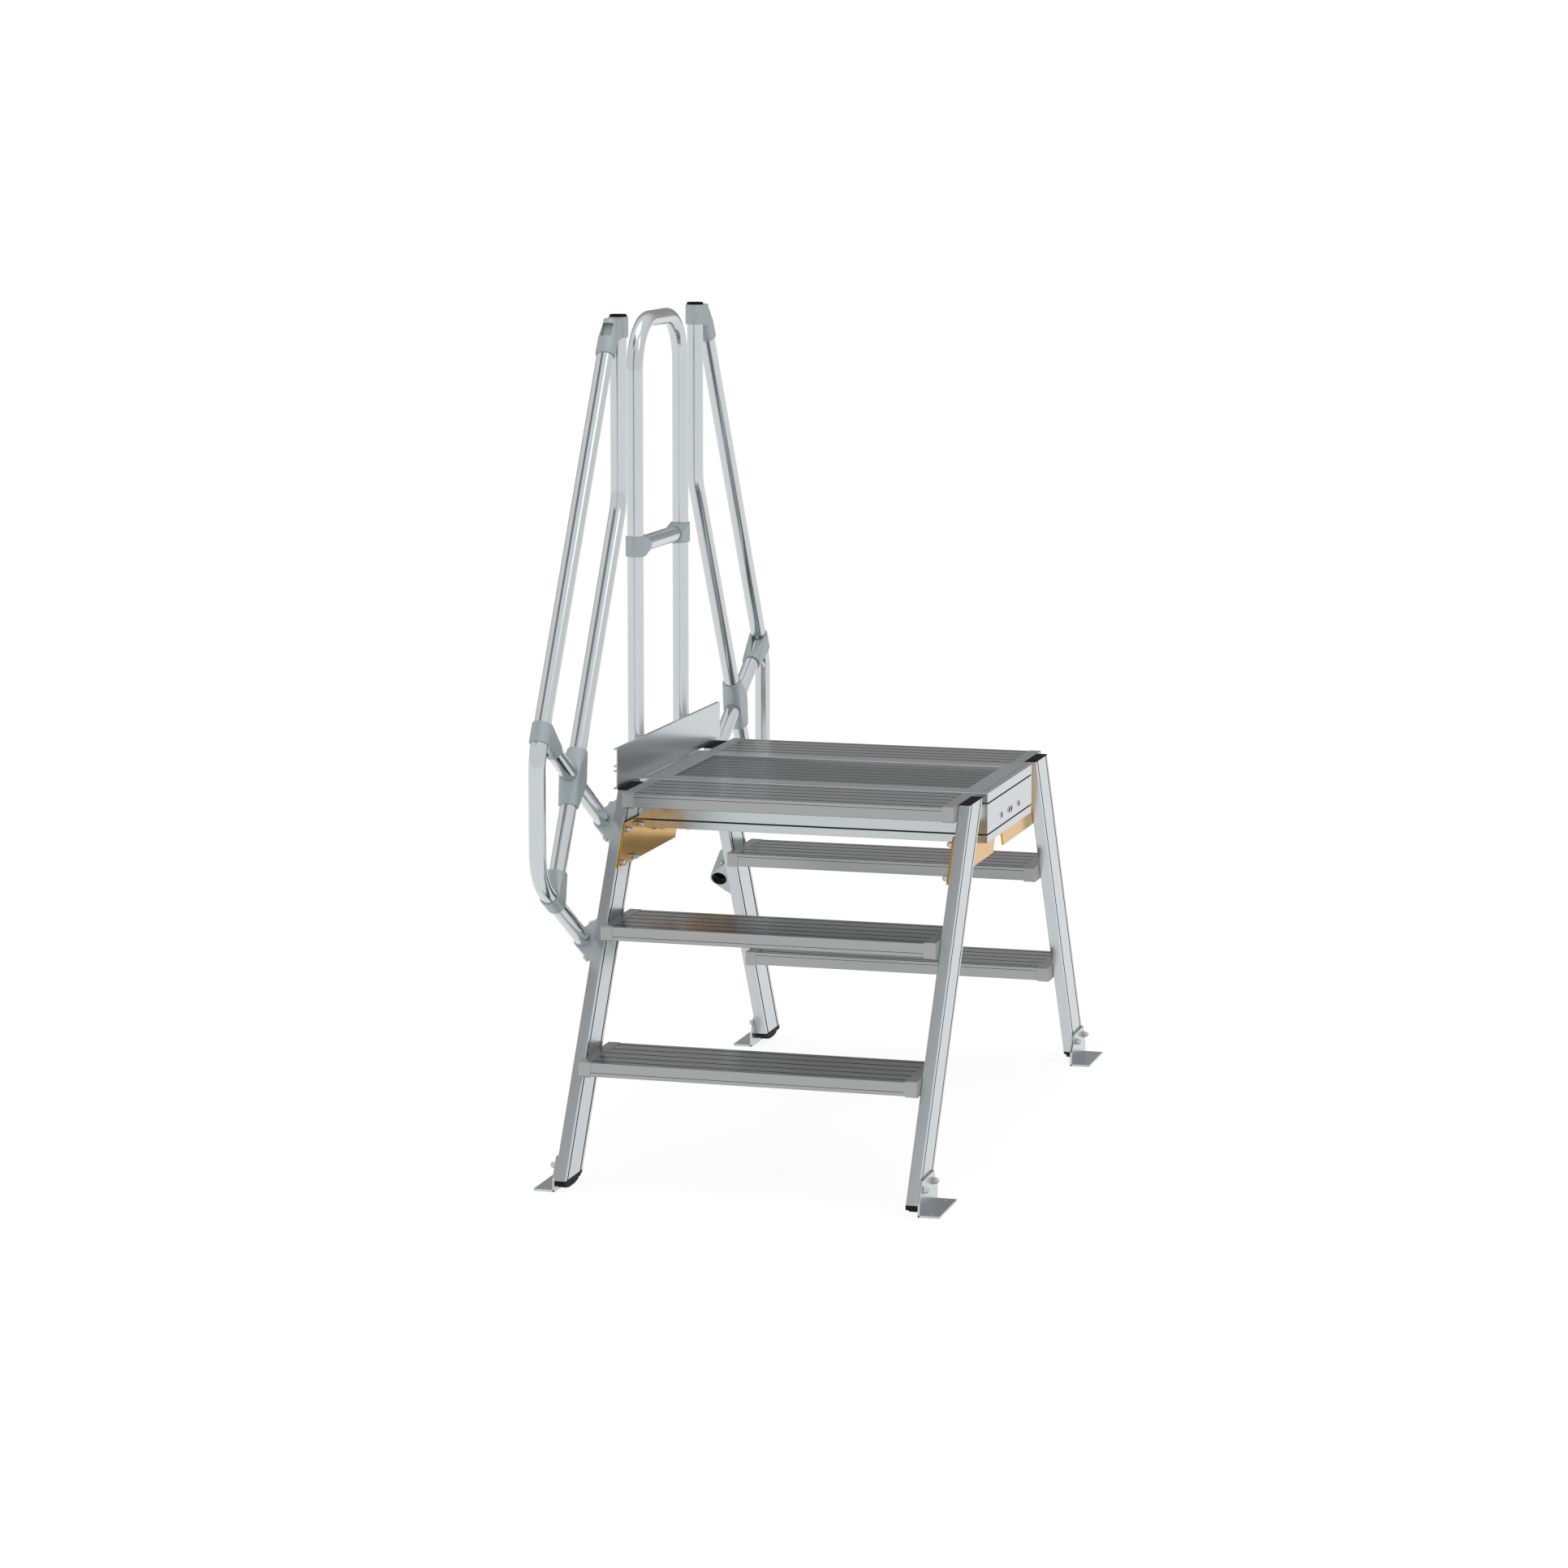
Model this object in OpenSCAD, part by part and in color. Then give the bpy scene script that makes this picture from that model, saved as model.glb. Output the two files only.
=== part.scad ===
// Step-over bridge in aluminium: two three-tread ladders that lean on a platform,
// a bent tube handrail on one side, a hoop guard with a toe board beside the platform,
// and four floor brackets. X is the tread width, Y the walking direction, Z up.
// The origin is on the floor, in the middle of the footprint.

/* [Ladders] */
// Height from one tread to the next
rise = 240; // [215:1:280]
// Slope of the ladders from the floor, in degrees
slope = 59.5; // [56:0.5:63]
// Clear width between the stringers of one ladder
inner_w = 670; // [540:5:900]
// Length of the platform over both outer tread lips
platform_l = 784; // [700:2:1000]
// How far a tread lip stands out in front of its stringers
nosing = 44.5; // [20:0.5:50]

/* [Stringers] */
// Thickness of a stringer across the ladder
stringer_t = 22.5; // [18:0.5:34]
// Depth of a stringer, square to its slope
stringer_d = 92.5; // [80:0.5:115]
// Wall of the hollow middle chamber
stringer_wall = 3; // [2:0.5:4]
// Width of the long slots in the wide faces
slot_w = 6; // [2:0.5:7]
// Depth of the long slots
slot_depth = 6; // [3:0.5:7]
// Distance from a stringer edge to the middle of its slot
slot_inset = 12.75; // [10:0.25:18]
// Height of the cut stringer end above the floor
stringer_clear = 23; // [16:1:40]

/* [Treads] */
// Depth of a tread from lip to lip
tread_d = 192; // [150:1:200]
// Height of a tread lip
tread_h = 27.5; // [22:0.5:40]
// Wall of the tread section
tread_wall = 3; // [2:0.5:4.5]
// Number of long grooves in a tread
tread_grooves = 5; // [3:1:7]
// Width of a long groove in a tread
groove_w = 5; // [2:0.5:6]
// Depth of a long groove in a tread
groove_depth = 1.6; // [0.8:0.2:2]
// Thickness of the end caps, along the tread
cap_w = 24; // [12:0.5:30]
// Height of the end caps
cap_h = 32; // [28:0.5:45]
// How far an end cap stands proud of its tread
cap_proud = 1; // [0.5:0.1:2]

/* [Platform frame] */
// Width of a frame beam
beam_w = 52; // [40:1:80]
// Height of a frame beam
beam_h = 100; // [70:1:120]
// Wall of a frame beam
beam_wall = 3; // [2:0.5:5]
// Width of the long slots of a beam
beam_slot_w = 3; // [2:0.5:4]
// Depth of the upper slot below the beam top
beam_slot_top = 21; // [14:0.5:30]
// Height of the lower slot above the beam bottom
beam_slot_low = 17; // [12:0.5:30]
// Distance of the thin top line from the beam's outer face
top_line_inset = 13; // [10:0.5:18]
// Depth of the rivet row below the beam top
rivet_drop = 62; // [40:1:66]
// How far the deck panel lies below the frame
deck_drop = 5; // [0:0.5:8]
// Height of the deck panel section
deck_h = 28; // [20:1:40]
// Width of the ledges that carry the deck panel
ledge_w = 12; // [8:1:20]
// Gap around the deck panel
deck_gap = 0.8; // [0.4:0.1:1.5]
// Width of a long groove in the deck panel
deck_groove_w = 3; // [2:0.5:4]

/* [Corner plates] */
// Thickness of the corner plates
plate_t = 4.5; // [3:0.5:8]
// Height of the top edge of a corner plate over the beam bottom
plate_up = 40; // [25:1:60]
// Height of a corner plate below the beam bottom
plate_down = 44; // [35:1:60]
// Distance from the bridge middle to the far end of a corner plate
plate_mid_gap = 21; // [10:1:60]
// Width of the folded flange under the side beam
flange_w = 24; // [16:1:26]
// Thread diameter of all frame bolts
bolt_d = 8; // [6:1:10]
// Height of the upper bolt row below the top edge of the plate
bolt_row_top = 15; // [12:1:20]
// Distance between the two bolt rows
bolt_row_pitch = 60; // [40:1:62]

/* [Floor brackets] */
// Plate thickness of the floor brackets
bracket_t = 4.5; // [3:0.5:6]
// How far a floor bracket runs on behind the back corner of the stringer at floor level
bracket_tail = 51.6; // [40:0.2:70]
// How far the foot plate reaches out from the stringer
bracket_out = 42.5; // [30:0.5:60]
// Height of the upright plate
bracket_h = 65; // [60:1:90]
// How far the upright plate starts behind the front corner of the stringer at floor level
bracket_start = 16; // [8:1:24]
// Diameter of the floor fixing holes
anchor_hole_d = 10; // [8:0.5:14]
// Distance between the two floor fixing holes
anchor_pitch = 115; // [80:1:120]
// Gap between a foot and the floor
foot_gap = 4; // [0:0.5:6]

/* [Handrail] */
// Outer diameter of all rail tubes
rail_d = 33; // [28:0.5:38]
// Wall of the rail tubes
rail_wall = 2; // [1.5:0.25:3]
// Wall of the cast clamps
clamp_wall = 3.2; // [2.5:0.1:3.5]
// Radial fit between a tube and a clamp
clamp_fit = 0.15; // [0.1:0.05:0.3]
// Metal between the sleeve of a tube socket and the stringer
socket_base = 2.65; // [2:0.05:6]
// Bend radius at the middle of a tube
bend_r = 100; // [80:5:120]
// Height of the handrail top above the platform
rail_top = 927; // [800:1:1100]
// Distance of the upright posts from the bridge middle
post_y = 262; // [240:1:290]
// Distance of the lower part of the posts from the stringer edge
post_off = 210; // [180:1:230]
// Distance of the sloping handrail from the stringer edge
hand_off = 432; // [420:1:470]
// Distance of the upright part of the handrail from the platform lip
hand_reach = 384; // [370:1:420]
// Distance down the slope from platform level to the upper brace
brace_up = 64; // [55:1:80]
// Distance down the slope from platform level to the lower brace
brace_low = 315; // [290:1:340]
// Length of a clamp sleeve
sleeve_l = 41; // [36:1:50]
// Length of the cross clamp along the post
cross_l = 118; // [90:1:130]
// Reach of a clamp branch from the crossing
branch_l = 80; // [60:1:100]
// Length of a tube socket across the stringer
socket_l = 80; // [70:1:86]
// Length of the socket foot along the stringer
socket_foot = 90; // [70:1:92]

/* [Hoop and toe board] */
// Distance of a hoop leg from the bridge middle
hoop_y = 155; // [140:1:155]
// Height of the hoop over the platform, at the tube middle
hoop_h = 911; // [700:1:1100]
// Height of the hoop's middle rail over the platform
mid_h = 462; // [400:1:600]
// Height of the toe board
toe_h = 81; // [60:1:100]
// Gap between the toe board and the platform
toe_gap = 2; // [2:1:10]
// Thickness of the toe board over its ribs
toe_t = 8.5; // [6:0.5:10]
// Wall of the toe board
toe_wall = 2; // [1.5:0.5:3]
// Length of the toe board
toe_l = 714; // [600:2:780]

/* [Hidden] */
$fn = 64;

// Derived sizes
platform_h = 3 * rise;
run = rise / tan(slope);
lean = 90 - slope;
in_x = inner_w / 2;
out_x = in_x + stringer_t;
edge_y = platform_l / 2 - nosing;
stringer_flat = stringer_d / sin(slope);
frame_y = platform_l / 2 - tread_d;
rail_r = rail_d / 2;
bore_r = rail_r + clamp_fit;
clamp_r = bore_r + clamp_wall;
rail_out = clamp_r + socket_base;
rail_x = out_x + rail_out;
plug_h = 2;
slot_flat = slot_inset / sin(slope);
beam_low = platform_h - beam_h;
bracket_front = edge_y + platform_h / tan(slope) - bracket_start;
bracket_back = edge_y + platform_h / tan(slope) - stringer_flat - bracket_tail;
bracket_l = bracket_front - bracket_back;
floor_bolt_z = bracket_h - 18;
bolt_r = bolt_d / 2;
nut_r = 0.81 * bolt_d;
hand_y = platform_l / 2 + hand_reach;
tube_sides = 32;
bend_steps = 7;
web_t = 26;

// Distance from the middle to the front edge of a stringer at a height
function edge_at(z) = edge_y + (platform_h - z) / tan(slope);

// Height and distance of a point given along and square to the slope
function slope_y(s, n) = edge_y - s * cos(slope) + n * sin(slope);
function slope_z(s, n) = platform_h + s * sin(slope) + n * cos(slope);

// Place along the slope where the line at offset n reaches a distance y
function s_at(y, n) = (edge_y + n * sin(slope) - y) / cos(slope);

// Offset where the line at place s reaches a distance y
function n_at(y, s) = (y - edge_y + s * cos(slope)) / sin(slope);

// Geometry for the front half is drawn at negative Y, for the right half at positive X
module side(right) {
    if (right) children();
    else mirror([1, 0, 0]) children();
}

module half(front) {
    if (front) children();
    else mirror([0, 1, 0]) children();
}

// Frame with Z up the slope and Y into the stringer, from its front edge at platform level
module sloped() {
    translate([0, -edge_y, platform_h]) rotate([-lean, 0, 0]) children();
}

// A profile drawn as (Y, Z) and drawn out along X, centred
module along_x(length) {
    rotate([90, 0, 90]) linear_extrude(length, center = true) children();
}

// ---------- Stringers ----------

module stringer_section() {
    pocket_y = slot_inset + slot_w / 2 + 6;
    difference() {
        square([stringer_t, stringer_d]);
        for (y = [slot_inset, stringer_d - slot_inset], x = [0, stringer_t - slot_depth])
            translate([x - (x == 0 ? 1 : 0), y - slot_w / 2]) square([slot_depth + 1, slot_w]);
        translate([stringer_wall, pocket_y])
            square([stringer_t - 2 * stringer_wall, stringer_d - 2 * pocket_y]);
    }
}

module stringer(front, right) {
    span = platform_h / sin(slope) + 2 * stringer_d;
    color("#b9c0c3") side(right) half(front)
        intersection() {
            translate([in_x, 0, 0]) sloped()
                translate([0, 0, -span]) linear_extrude(span + 2 * stringer_d) stringer_section();
            translate([in_x - 5, -3 * platform_l, stringer_clear])
                cube([stringer_t + 10, 6 * platform_l, platform_h - plug_h - stringer_clear]);
        }
}

// Lid on the cut top of a stringer, with a tongue down into its chamber
module top_plug(front, right) {
    pocket_y = slot_inset + slot_w / 2 + 6;
    tongue = 18;
    side(right) half(front) {
        difference() {
            translate([in_x, -edge_at(platform_h - plug_h), platform_h - plug_h])
                cube([stringer_t, stringer_flat, plug_h]);
            for (f = [0.3, 0.72])
                translate([in_x + stringer_t * 0.4, -edge_y + f * stringer_flat, platform_h - 1])
                    cylinder(r = 2, h = 3);
        }
        intersection() {
            translate([in_x, 0, 0]) sloped()
                translate([stringer_wall + 0.3, pocket_y + 0.3, -60])
                    cube([stringer_t - 2 * stringer_wall - 0.6, stringer_d - 2 * pocket_y - 0.6, 90]);
            translate([in_x, -edge_y - 60, platform_h - plug_h - tongue])
                cube([stringer_t, stringer_flat + 120, tongue]);
        }
    }
}

module top_plugs() {
    color("#1b1c1d") for (f = [true, false], r = [true, false]) top_plug(f, r);
}

// Plastic shoe under the cut end of a stringer
module foot(front, right) {
    y0 = -edge_at(stringer_clear);
    y1 = y0 + stringer_flat;
    pocket_y = slot_inset + slot_w / 2 + 6;
    color("#17181a") side(right) half(front) {
        translate([in_x + stringer_t / 2, 0, 0]) along_x(stringer_t)
            polygon([
                [y0, stringer_clear], [y0, stringer_clear - 11], [y0 + 16, foot_gap + 2.5],
                [y0 + 34, foot_gap], [y0 + 64, foot_gap], [y0 + 84, foot_gap + 3.5],
                [y0 + 98, foot_gap + 9.5], [y1, stringer_clear]
            ]);
        intersection() {
            translate([in_x, 0, 0]) sloped()
                translate([stringer_wall + 0.3, pocket_y + 0.3, -platform_h / sin(slope) - 90])
                    cube([stringer_t - 2 * stringer_wall - 0.6, stringer_d - 2 * pocket_y - 0.6, 220]);
            translate([in_x, y0 - 60, stringer_clear])
                cube([stringer_t, stringer_flat + 120, 20]);
        }
    }
}

// ---------- Floor brackets ----------

// Places of the bolts in the stringer slots, measured from the front edge at a height
function slot_places() = [slot_flat, stringer_flat - slot_flat];

module floor_bracket(front, right) {
    apex = edge_at(bracket_h) - stringer_flat + slot_flat;
    low = edge_at(0) - bracket_front;
    corner_z = low * tan(slope);
    anchor_y = (bracket_front + bracket_back) / 2;
    color("#aeb4b7") side(right) half(front) difference() {
        union() {
            translate([out_x + bracket_t / 2, 0, 0]) along_x(bracket_t)
                polygon([
                    [-bracket_front, 0], [-bracket_front, corner_z],
                    [-edge_at(bracket_h), bracket_h], [-apex, bracket_h],
                    [-bracket_back - 15, bracket_h * 0.68], [-bracket_back, bracket_h * 0.46],
                    [-bracket_back, 0]
                ]);
            translate([out_x, -bracket_front, 0]) cube([bracket_out, bracket_l, bracket_t]);
        }
        for (p = slot_places())
            translate([out_x - 1, -edge_at(floor_bolt_z) + p, floor_bolt_z])
                rotate([0, 90, 0]) cylinder(d = bolt_d + 0.6, h = bracket_t + 2);
        for (k = [-1, 1])
            translate([out_x + (bracket_out + bracket_t) / 2, -anchor_y + k * anchor_pitch / 2, -1])
                cylinder(d = anchor_hole_d, h = bracket_t + 2);
    }
}

// Screw with a washer and a domed nut, standing along +X from the face at x = 0
module dome_nut(grip, root) {
    rotate([0, 90, 0]) {
        translate([0, 0, grip]) cylinder(r = nut_r * 1.2, h = 1.2);
        translate([0, 0, grip + 1.2]) cylinder(r = nut_r, h = bolt_d * 0.8, $fn = 6);
        translate([0, 0, grip + 1.2 + bolt_d * 0.8]) intersection() {
            cylinder(r = nut_r * 0.8, h = bolt_d);
            sphere(r = nut_r * 0.8);
        }
        translate([0, 0, -root]) cylinder(r = bolt_r, h = root + grip + 1.2);
    }
}

module floor_bolts() {
    color("#c9cccd") for (f = [true, false], r = [true, false], p = slot_places())
        side(r) half(f)
            translate([out_x, -edge_at(floor_bolt_z) + p, floor_bolt_z])
                intersection() {
                    dome_nut(bracket_t, slot_depth - 0.5);
                    // the shank is flattened where it sits in the slot
                    union() {
                        translate([0, -20, -20]) cube([60, 40, 40]);
                        rotate([-lean, 0, 0])
                            translate([-slot_depth, -slot_w / 2 + 0.1, -20])
                                cube([slot_depth, slot_w - 0.2, 40]);
                    }
                }
}

// ---------- Treads ----------

// Section of a tread, from its outer lip at y = 0 inward; the top is at z = 0
module tread_section(line_low) {
    pitch = tread_d / tread_grooves;
    line_z = line_low ? -tread_h * 0.74 : -tread_h * 0.27;
    back_z = line_low ? -tread_h * 0.27 : -tread_h * 0.74;
    difference() {
        translate([cap_proud, -tread_h]) square([tread_d - 2 * cap_proud, tread_h]);
        for (k = [0:2])
            translate([tread_wall + cap_proud + k * (tread_d - tread_wall - 2 * cap_proud) / 3, -tread_h - 1])
                square([(tread_d - tread_wall - 2 * cap_proud) / 3 - tread_wall, tread_h + 1 - tread_wall - 1]);
        for (k = [0:tread_grooves - 1])
            translate([(k + 0.5) * pitch - groove_w / 2, -groove_depth]) square([groove_w, groove_depth + 1]);
        translate([cap_proud - 1, line_z]) square([1.8, 1]);
        translate([tread_d - cap_proud - 0.8, back_z]) square([1.8, 1]);
    }
}

module tread(front, level) {
    color("#8d9090") half(front)
        translate([0, -platform_l / 2 - (3 - level) * run, level * rise - cap_proud])
            along_x(inner_w - 2 * cap_w) tread_section(level < 3);
}

// Closed end piece that joins a tread to its stringer
module tread_cap(front, level, right) {
    side(right) half(front)
        translate([in_x - cap_w / 2, -platform_l / 2 - (3 - level) * run, level * rise])
            difference() {
                along_x(cap_w) polygon([
                    [0, -1.5], [1.5, 0], [tread_d - 1.5, 0], [tread_d, -1.5],
                    [tread_d, -cap_h + 4], [tread_d - 6, -cap_h], [6, -cap_h], [0, -cap_h + 4]
                ]);
                translate([-4, 0, 0]) along_x(cap_w)
                    translate([5, -cap_h - 1]) square([tread_d - 10, cap_h - 4]);
            }
}

module tread_caps(front, level) {
    color("#979a99") for (r = [true, false]) tread_cap(front, level, r);
}

// ---------- Platform frame ----------

// Section of a beam: outer face at u = 0, top at v = 0
module beam_section() {
    ledge_v = -deck_drop - deck_h;
    difference() {
        union() {
            translate([0, -beam_h]) square([beam_w, beam_h]);
            translate([beam_w - 1, ledge_v - 3]) square([ledge_w + 1, 3]);
        }
        translate([slot_depth + beam_wall, -beam_h + beam_wall])
            square([beam_w - slot_depth - 2 * beam_wall, beam_h - 2 * beam_wall]);
        for (v = [-beam_slot_top, -beam_h + beam_slot_low])
            translate([-1, v - beam_slot_w / 2]) square([slot_depth + 1, beam_slot_w]);
        translate([top_line_inset - 0.4, -0.8]) square([0.8, 2]);
    }
}

// A beam drawn out along its length with both ends cut at 45 degrees
module mitred_beam(half_len) {
    reach = beam_w + ledge_w + 2;
    intersection() {
        rotate([90, 0, 0]) linear_extrude(2 * half_len, center = true) beam_section();
        translate([0, 0, -beam_h - 1]) linear_extrude(beam_h + 2)
            polygon([[-1, -half_len - 1], [reach, -half_len + reach], [reach, half_len - reach], [-1, half_len + 1]]);
    }
}

module beam_side(right) {
    color("#b9c0c3") side(!right) translate([-out_x, 0, platform_h]) mitred_beam(frame_y);
}

module beam_cross(front) {
    color("#b9c0c3") half(front)
        translate([0, -frame_y, platform_h]) rotate([0, 0, 90]) mitred_beam(out_x);
}

// Ribbed panel that lies on the ledges inside the frame
module deck_panel() {
    w = 2 * (out_x - beam_w - deck_gap);
    d = 2 * (frame_y - beam_w - deck_gap);
    ribs = 8;
    color("#7f8283") translate([0, 0, platform_h - deck_drop]) along_x(w) difference() {
        translate([-d / 2, -deck_h]) square([d, deck_h]);
        for (k = [0:3])
            translate([-d / 2 + tread_wall + k * (d - tread_wall) / 4, -deck_h - 1])
                square([(d - tread_wall) / 4 - tread_wall, deck_h + 1 - tread_wall - 1]);
        for (k = [0:ribs - 1])
            translate([-d / 2 + (k + 0.5) * d / ribs - deck_groove_w / 2, -groove_depth])
                square([deck_groove_w, groove_depth + 1]);
    }
}

// Round heads on the outer face of the right side beam
module beam_rivets() {
    z = platform_h - rivet_drop;
    color("#cfd2d3") for (y = [-77, -10, 10, 77])
        translate([out_x, y, z]) rotate([0, 90, 0]) cylinder(r1 = 7, r2 = 6, h = 1.6);
}

// ---------- Corner plates ----------

module corner_plate(front, right) {
    top_z = beam_low + plate_up;
    low_z = beam_low - plate_down;
    color("#e0a040") side(right) half(front) {
        translate([in_x - plate_t / 2, 0, 0]) difference() {
            union() {
                along_x(plate_t) polygon([
                    [-edge_at(top_z), top_z], [-frame_y - 0.3, top_z], [-frame_y - 0.3, beam_low],
                    [-plate_mid_gap, beam_low],
                    [-plate_mid_gap - plate_down / tan(slope), low_z], [-edge_at(low_z), low_z]
                ]);
                translate([plate_t / 2 - flange_w, -frame_y + 20, beam_low - plate_t])
                    cube([flange_w, frame_y - plate_mid_gap - 28, plate_t]);
            }
            for (row = [0, 1], p = slot_places())
                translate([-plate_t, -edge_at(top_z - bolt_row_top - row * bolt_row_pitch) + p,
                    top_z - bolt_row_top - row * bolt_row_pitch])
                    rotate([0, 90, 0]) cylinder(d = bolt_d + 0.6, h = 2 * plate_t);
        }
    }
}

// Bolts with domed nuts on the inner side of the corner plates, and the screws up into the beams
module plate_bolts() {
    top_z = beam_low + plate_up;
    color("#c9cccd") for (f = [true, false], r = [true, false]) side(r) half(f) {
        for (row = [0, 1], p = slot_places())
            translate([in_x, -edge_at(top_z - bolt_row_top - row * bolt_row_pitch) + p,
                top_z - bolt_row_top - row * bolt_row_pitch])
                mirror([1, 0, 0]) intersection() {
                    dome_nut(plate_t, slot_depth - 0.5);
                    union() {
                        translate([0, -20, -20]) cube([60, 40, 40]);
                        rotate([-lean, 0, 0])
                            translate([-slot_depth, -slot_w / 2 + 0.1, -20])
                                cube([slot_depth, slot_w - 0.2, 40]);
                    }
                }
        for (k = [0, 1])
            translate([in_x - flange_w * 0.62, -frame_y + 38 + k * (frame_y - plate_mid_gap - 64),
                beam_low - plate_t - 4])
                cylinder(r = nut_r, h = 4, $fn = 6);
    }
}

// ---------- Tubes ----------

// Angle of the step from a to b
function dir_of(a, b) = atan2(b[1] - a[1], b[0] - a[0]);

// Left turn from one direction to the next, in -180..180
function turn_of(a, b, c) = let (t = dir_of(b, c) - dir_of(a, b)) t > 180 ? t - 360 : t < -180 ? t + 360 : t;

// Length lost at each side of a bend
function cut_of(pts, i) = i == 0 || i == len(pts) - 1 ? 0
    : bend_r * tan(abs(turn_of(pts[i - 1], pts[i], pts[i + 1])) / 2);

// Rest of a bar from its straight piece number i on, drawn along Z from where that piece starts
module bar_chain(lens, turns, r, i = 0) {
    cylinder(r = r, h = lens[i]);
    if (i < len(turns)) translate([0, 0, lens[i]]) {
        g = turns[i] > 0 ? 1 : -1;
        mirror([0, g > 0 ? 0 : 1, 0]) translate([0, -bend_r, 0]) rotate([90, 0, 90])
            rotate_extrude(angle = abs(turns[i])) translate([bend_r, 0]) circle(r = r);
        translate([0, -g * bend_r, 0]) rotate([turns[i], 0, 0]) translate([0, g * bend_r, 0])
            bar_chain(lens, turns, r, i + 1);
    }
}

// Solid round bar through points given as (Y, Z), with true bends
module round_run(pts, r) {
    n = len(pts);
    lens = [for (i = [0:n - 2]) norm(pts[i + 1] - pts[i]) - cut_of(pts, i) - cut_of(pts, i + 1)];
    turns = [for (i = [1:1:n - 2]) turn_of(pts[i - 1], pts[i], pts[i + 1])];
    translate([0, pts[0][0], pts[0][1]]) rotate([dir_of(pts[0], pts[1]) - 90, 0, 0])
        bar_chain(lens, turns, r);
}

// The same run with its ends drawn out, for cutting
function drawn_out(pts, e) = [for (i = [0:len(pts) - 1])
    i == 0 ? pts[0] - e * unit(pts[1] - pts[0])
    : i == len(pts) - 1 ? pts[i] + e * unit(pts[i] - pts[i - 1]) : pts[i]];
function unit(v) = v / norm(v);

module tube_run(pts) {
    difference() {
        round_run(pts, rail_r);
        round_run(drawn_out(pts, 1), rail_r - rail_wall);
    }
}

// Places and directions of the rings along a bent tube: [y, z, direction]
function ring_list(pts) = [for (i = [0:len(pts) - 1])
    let (e = len(pts) - 1, d = dir_of(pts[max(i - 1, 0)], pts[max(i, 1)]))
    each i == 0 || i == e ? [[pts[i][0], pts[i][1], d]]
        : let (t = turn_of(pts[i - 1], pts[i], pts[i + 1]), g = sign(t), c = cut_of(pts, i),
               y0 = pts[i][0] - c * cos(d), z0 = pts[i][1] - c * sin(d))
        [for (k = [0:bend_steps]) let (a = d + t * k / bend_steps)
            [y0 - g * bend_r * (sin(d) - sin(a)), z0 + g * bend_r * (cos(d) - cos(a)), a]]];

function ring_at(p, r) = [for (q = [0:tube_sides - 1]) let (w = 360 * q / tube_sides)
    [r * cos(w), p[0] - r * sin(w) * sin(p[2]), p[1] + r * sin(w) * cos(p[2])]];

// Bent tube as one closed skin, outside and inside
module bent_tube(pts) {
    rings = ring_list(pts);
    n = len(rings);
    m = tube_sides;
    inside = n * m;
    points = concat(
        [for (p = rings) each ring_at(p, rail_r)],
        [for (p = rings) each ring_at(p, rail_r - rail_wall)]
    );
    faces = concat(
        [for (i = [0:n - 2], q = [0:m - 1]) let (u = (q + 1) % m)
            [i * m + q, i * m + u, (i + 1) * m + u, (i + 1) * m + q]],
        [for (i = [0:n - 2], q = [0:m - 1]) let (u = (q + 1) % m)
            [inside + i * m + u, inside + i * m + q, inside + (i + 1) * m + q, inside + (i + 1) * m + u]],
        [for (q = [0:m - 1]) let (u = (q + 1) % m) [u, q, inside + q, inside + u]],
        [for (q = [0:m - 1]) let (u = (q + 1) % m, o = (n - 1) * m)
            [o + q, o + u, inside + o + u, inside + o + q]]
    );
    polyhedron(points = points, faces = faces);
}

// Point in the (Y, Z) plane of the front rails
function rail_pt(s, n) = [-slope_y(s, n), slope_z(s, n)];

// Everything on the rail plane of one ladder
module rail_side(front) {
    half(front) translate([-rail_x, 0, 0]) children();
}

// ---------- Handrail ----------

function hand_top_s() = (rail_top - 36 - hand_off * cos(slope)) / sin(slope);
function hand_pts() = [
    rail_pt(hand_top_s(), hand_off),
    rail_pt(s_at(hand_y, hand_off), hand_off),
    rail_pt(-brace_low, n_at(hand_y, -brace_low)),
    rail_pt(-brace_low, -socket_l + 12)
];

module handrail(front) {
    color("#cdd2d4") rail_side(front) bent_tube(hand_pts());
}

function post_end() = -brace_low + bore_r + 2;
function post_pts() = [
    rail_pt(post_end(), post_off),
    rail_pt(s_at(post_y, post_off), post_off),
    [-post_y, platform_h + rail_top - 2]
];

module post(front) {
    color("#cdd2d4") rail_side(front) bent_tube(post_pts());
}

// Two lengths of tube in one line, from the knee clamp to the cross clamp and on to the socket
module braces(front) {
    color("#cdd2d4") rail_side(front) {
        tube_run([rail_pt(-brace_up, hand_off - bore_r - 2), rail_pt(-brace_up, post_off + bore_r + 2)]);
        tube_run([rail_pt(-brace_up, post_off - bore_r - 2), rail_pt(-brace_up, -socket_l + 12)]);
    }
}

// ---------- Clamps ----------

// Round bar between two places in the rail plane
module bar(a, b, r) {
    l = norm(b - a);
    translate([0, a[0], a[1]]) rotate([dir_of(a, b) - 90, 0, 0]) cylinder(r = r, h = l);
}

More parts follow.
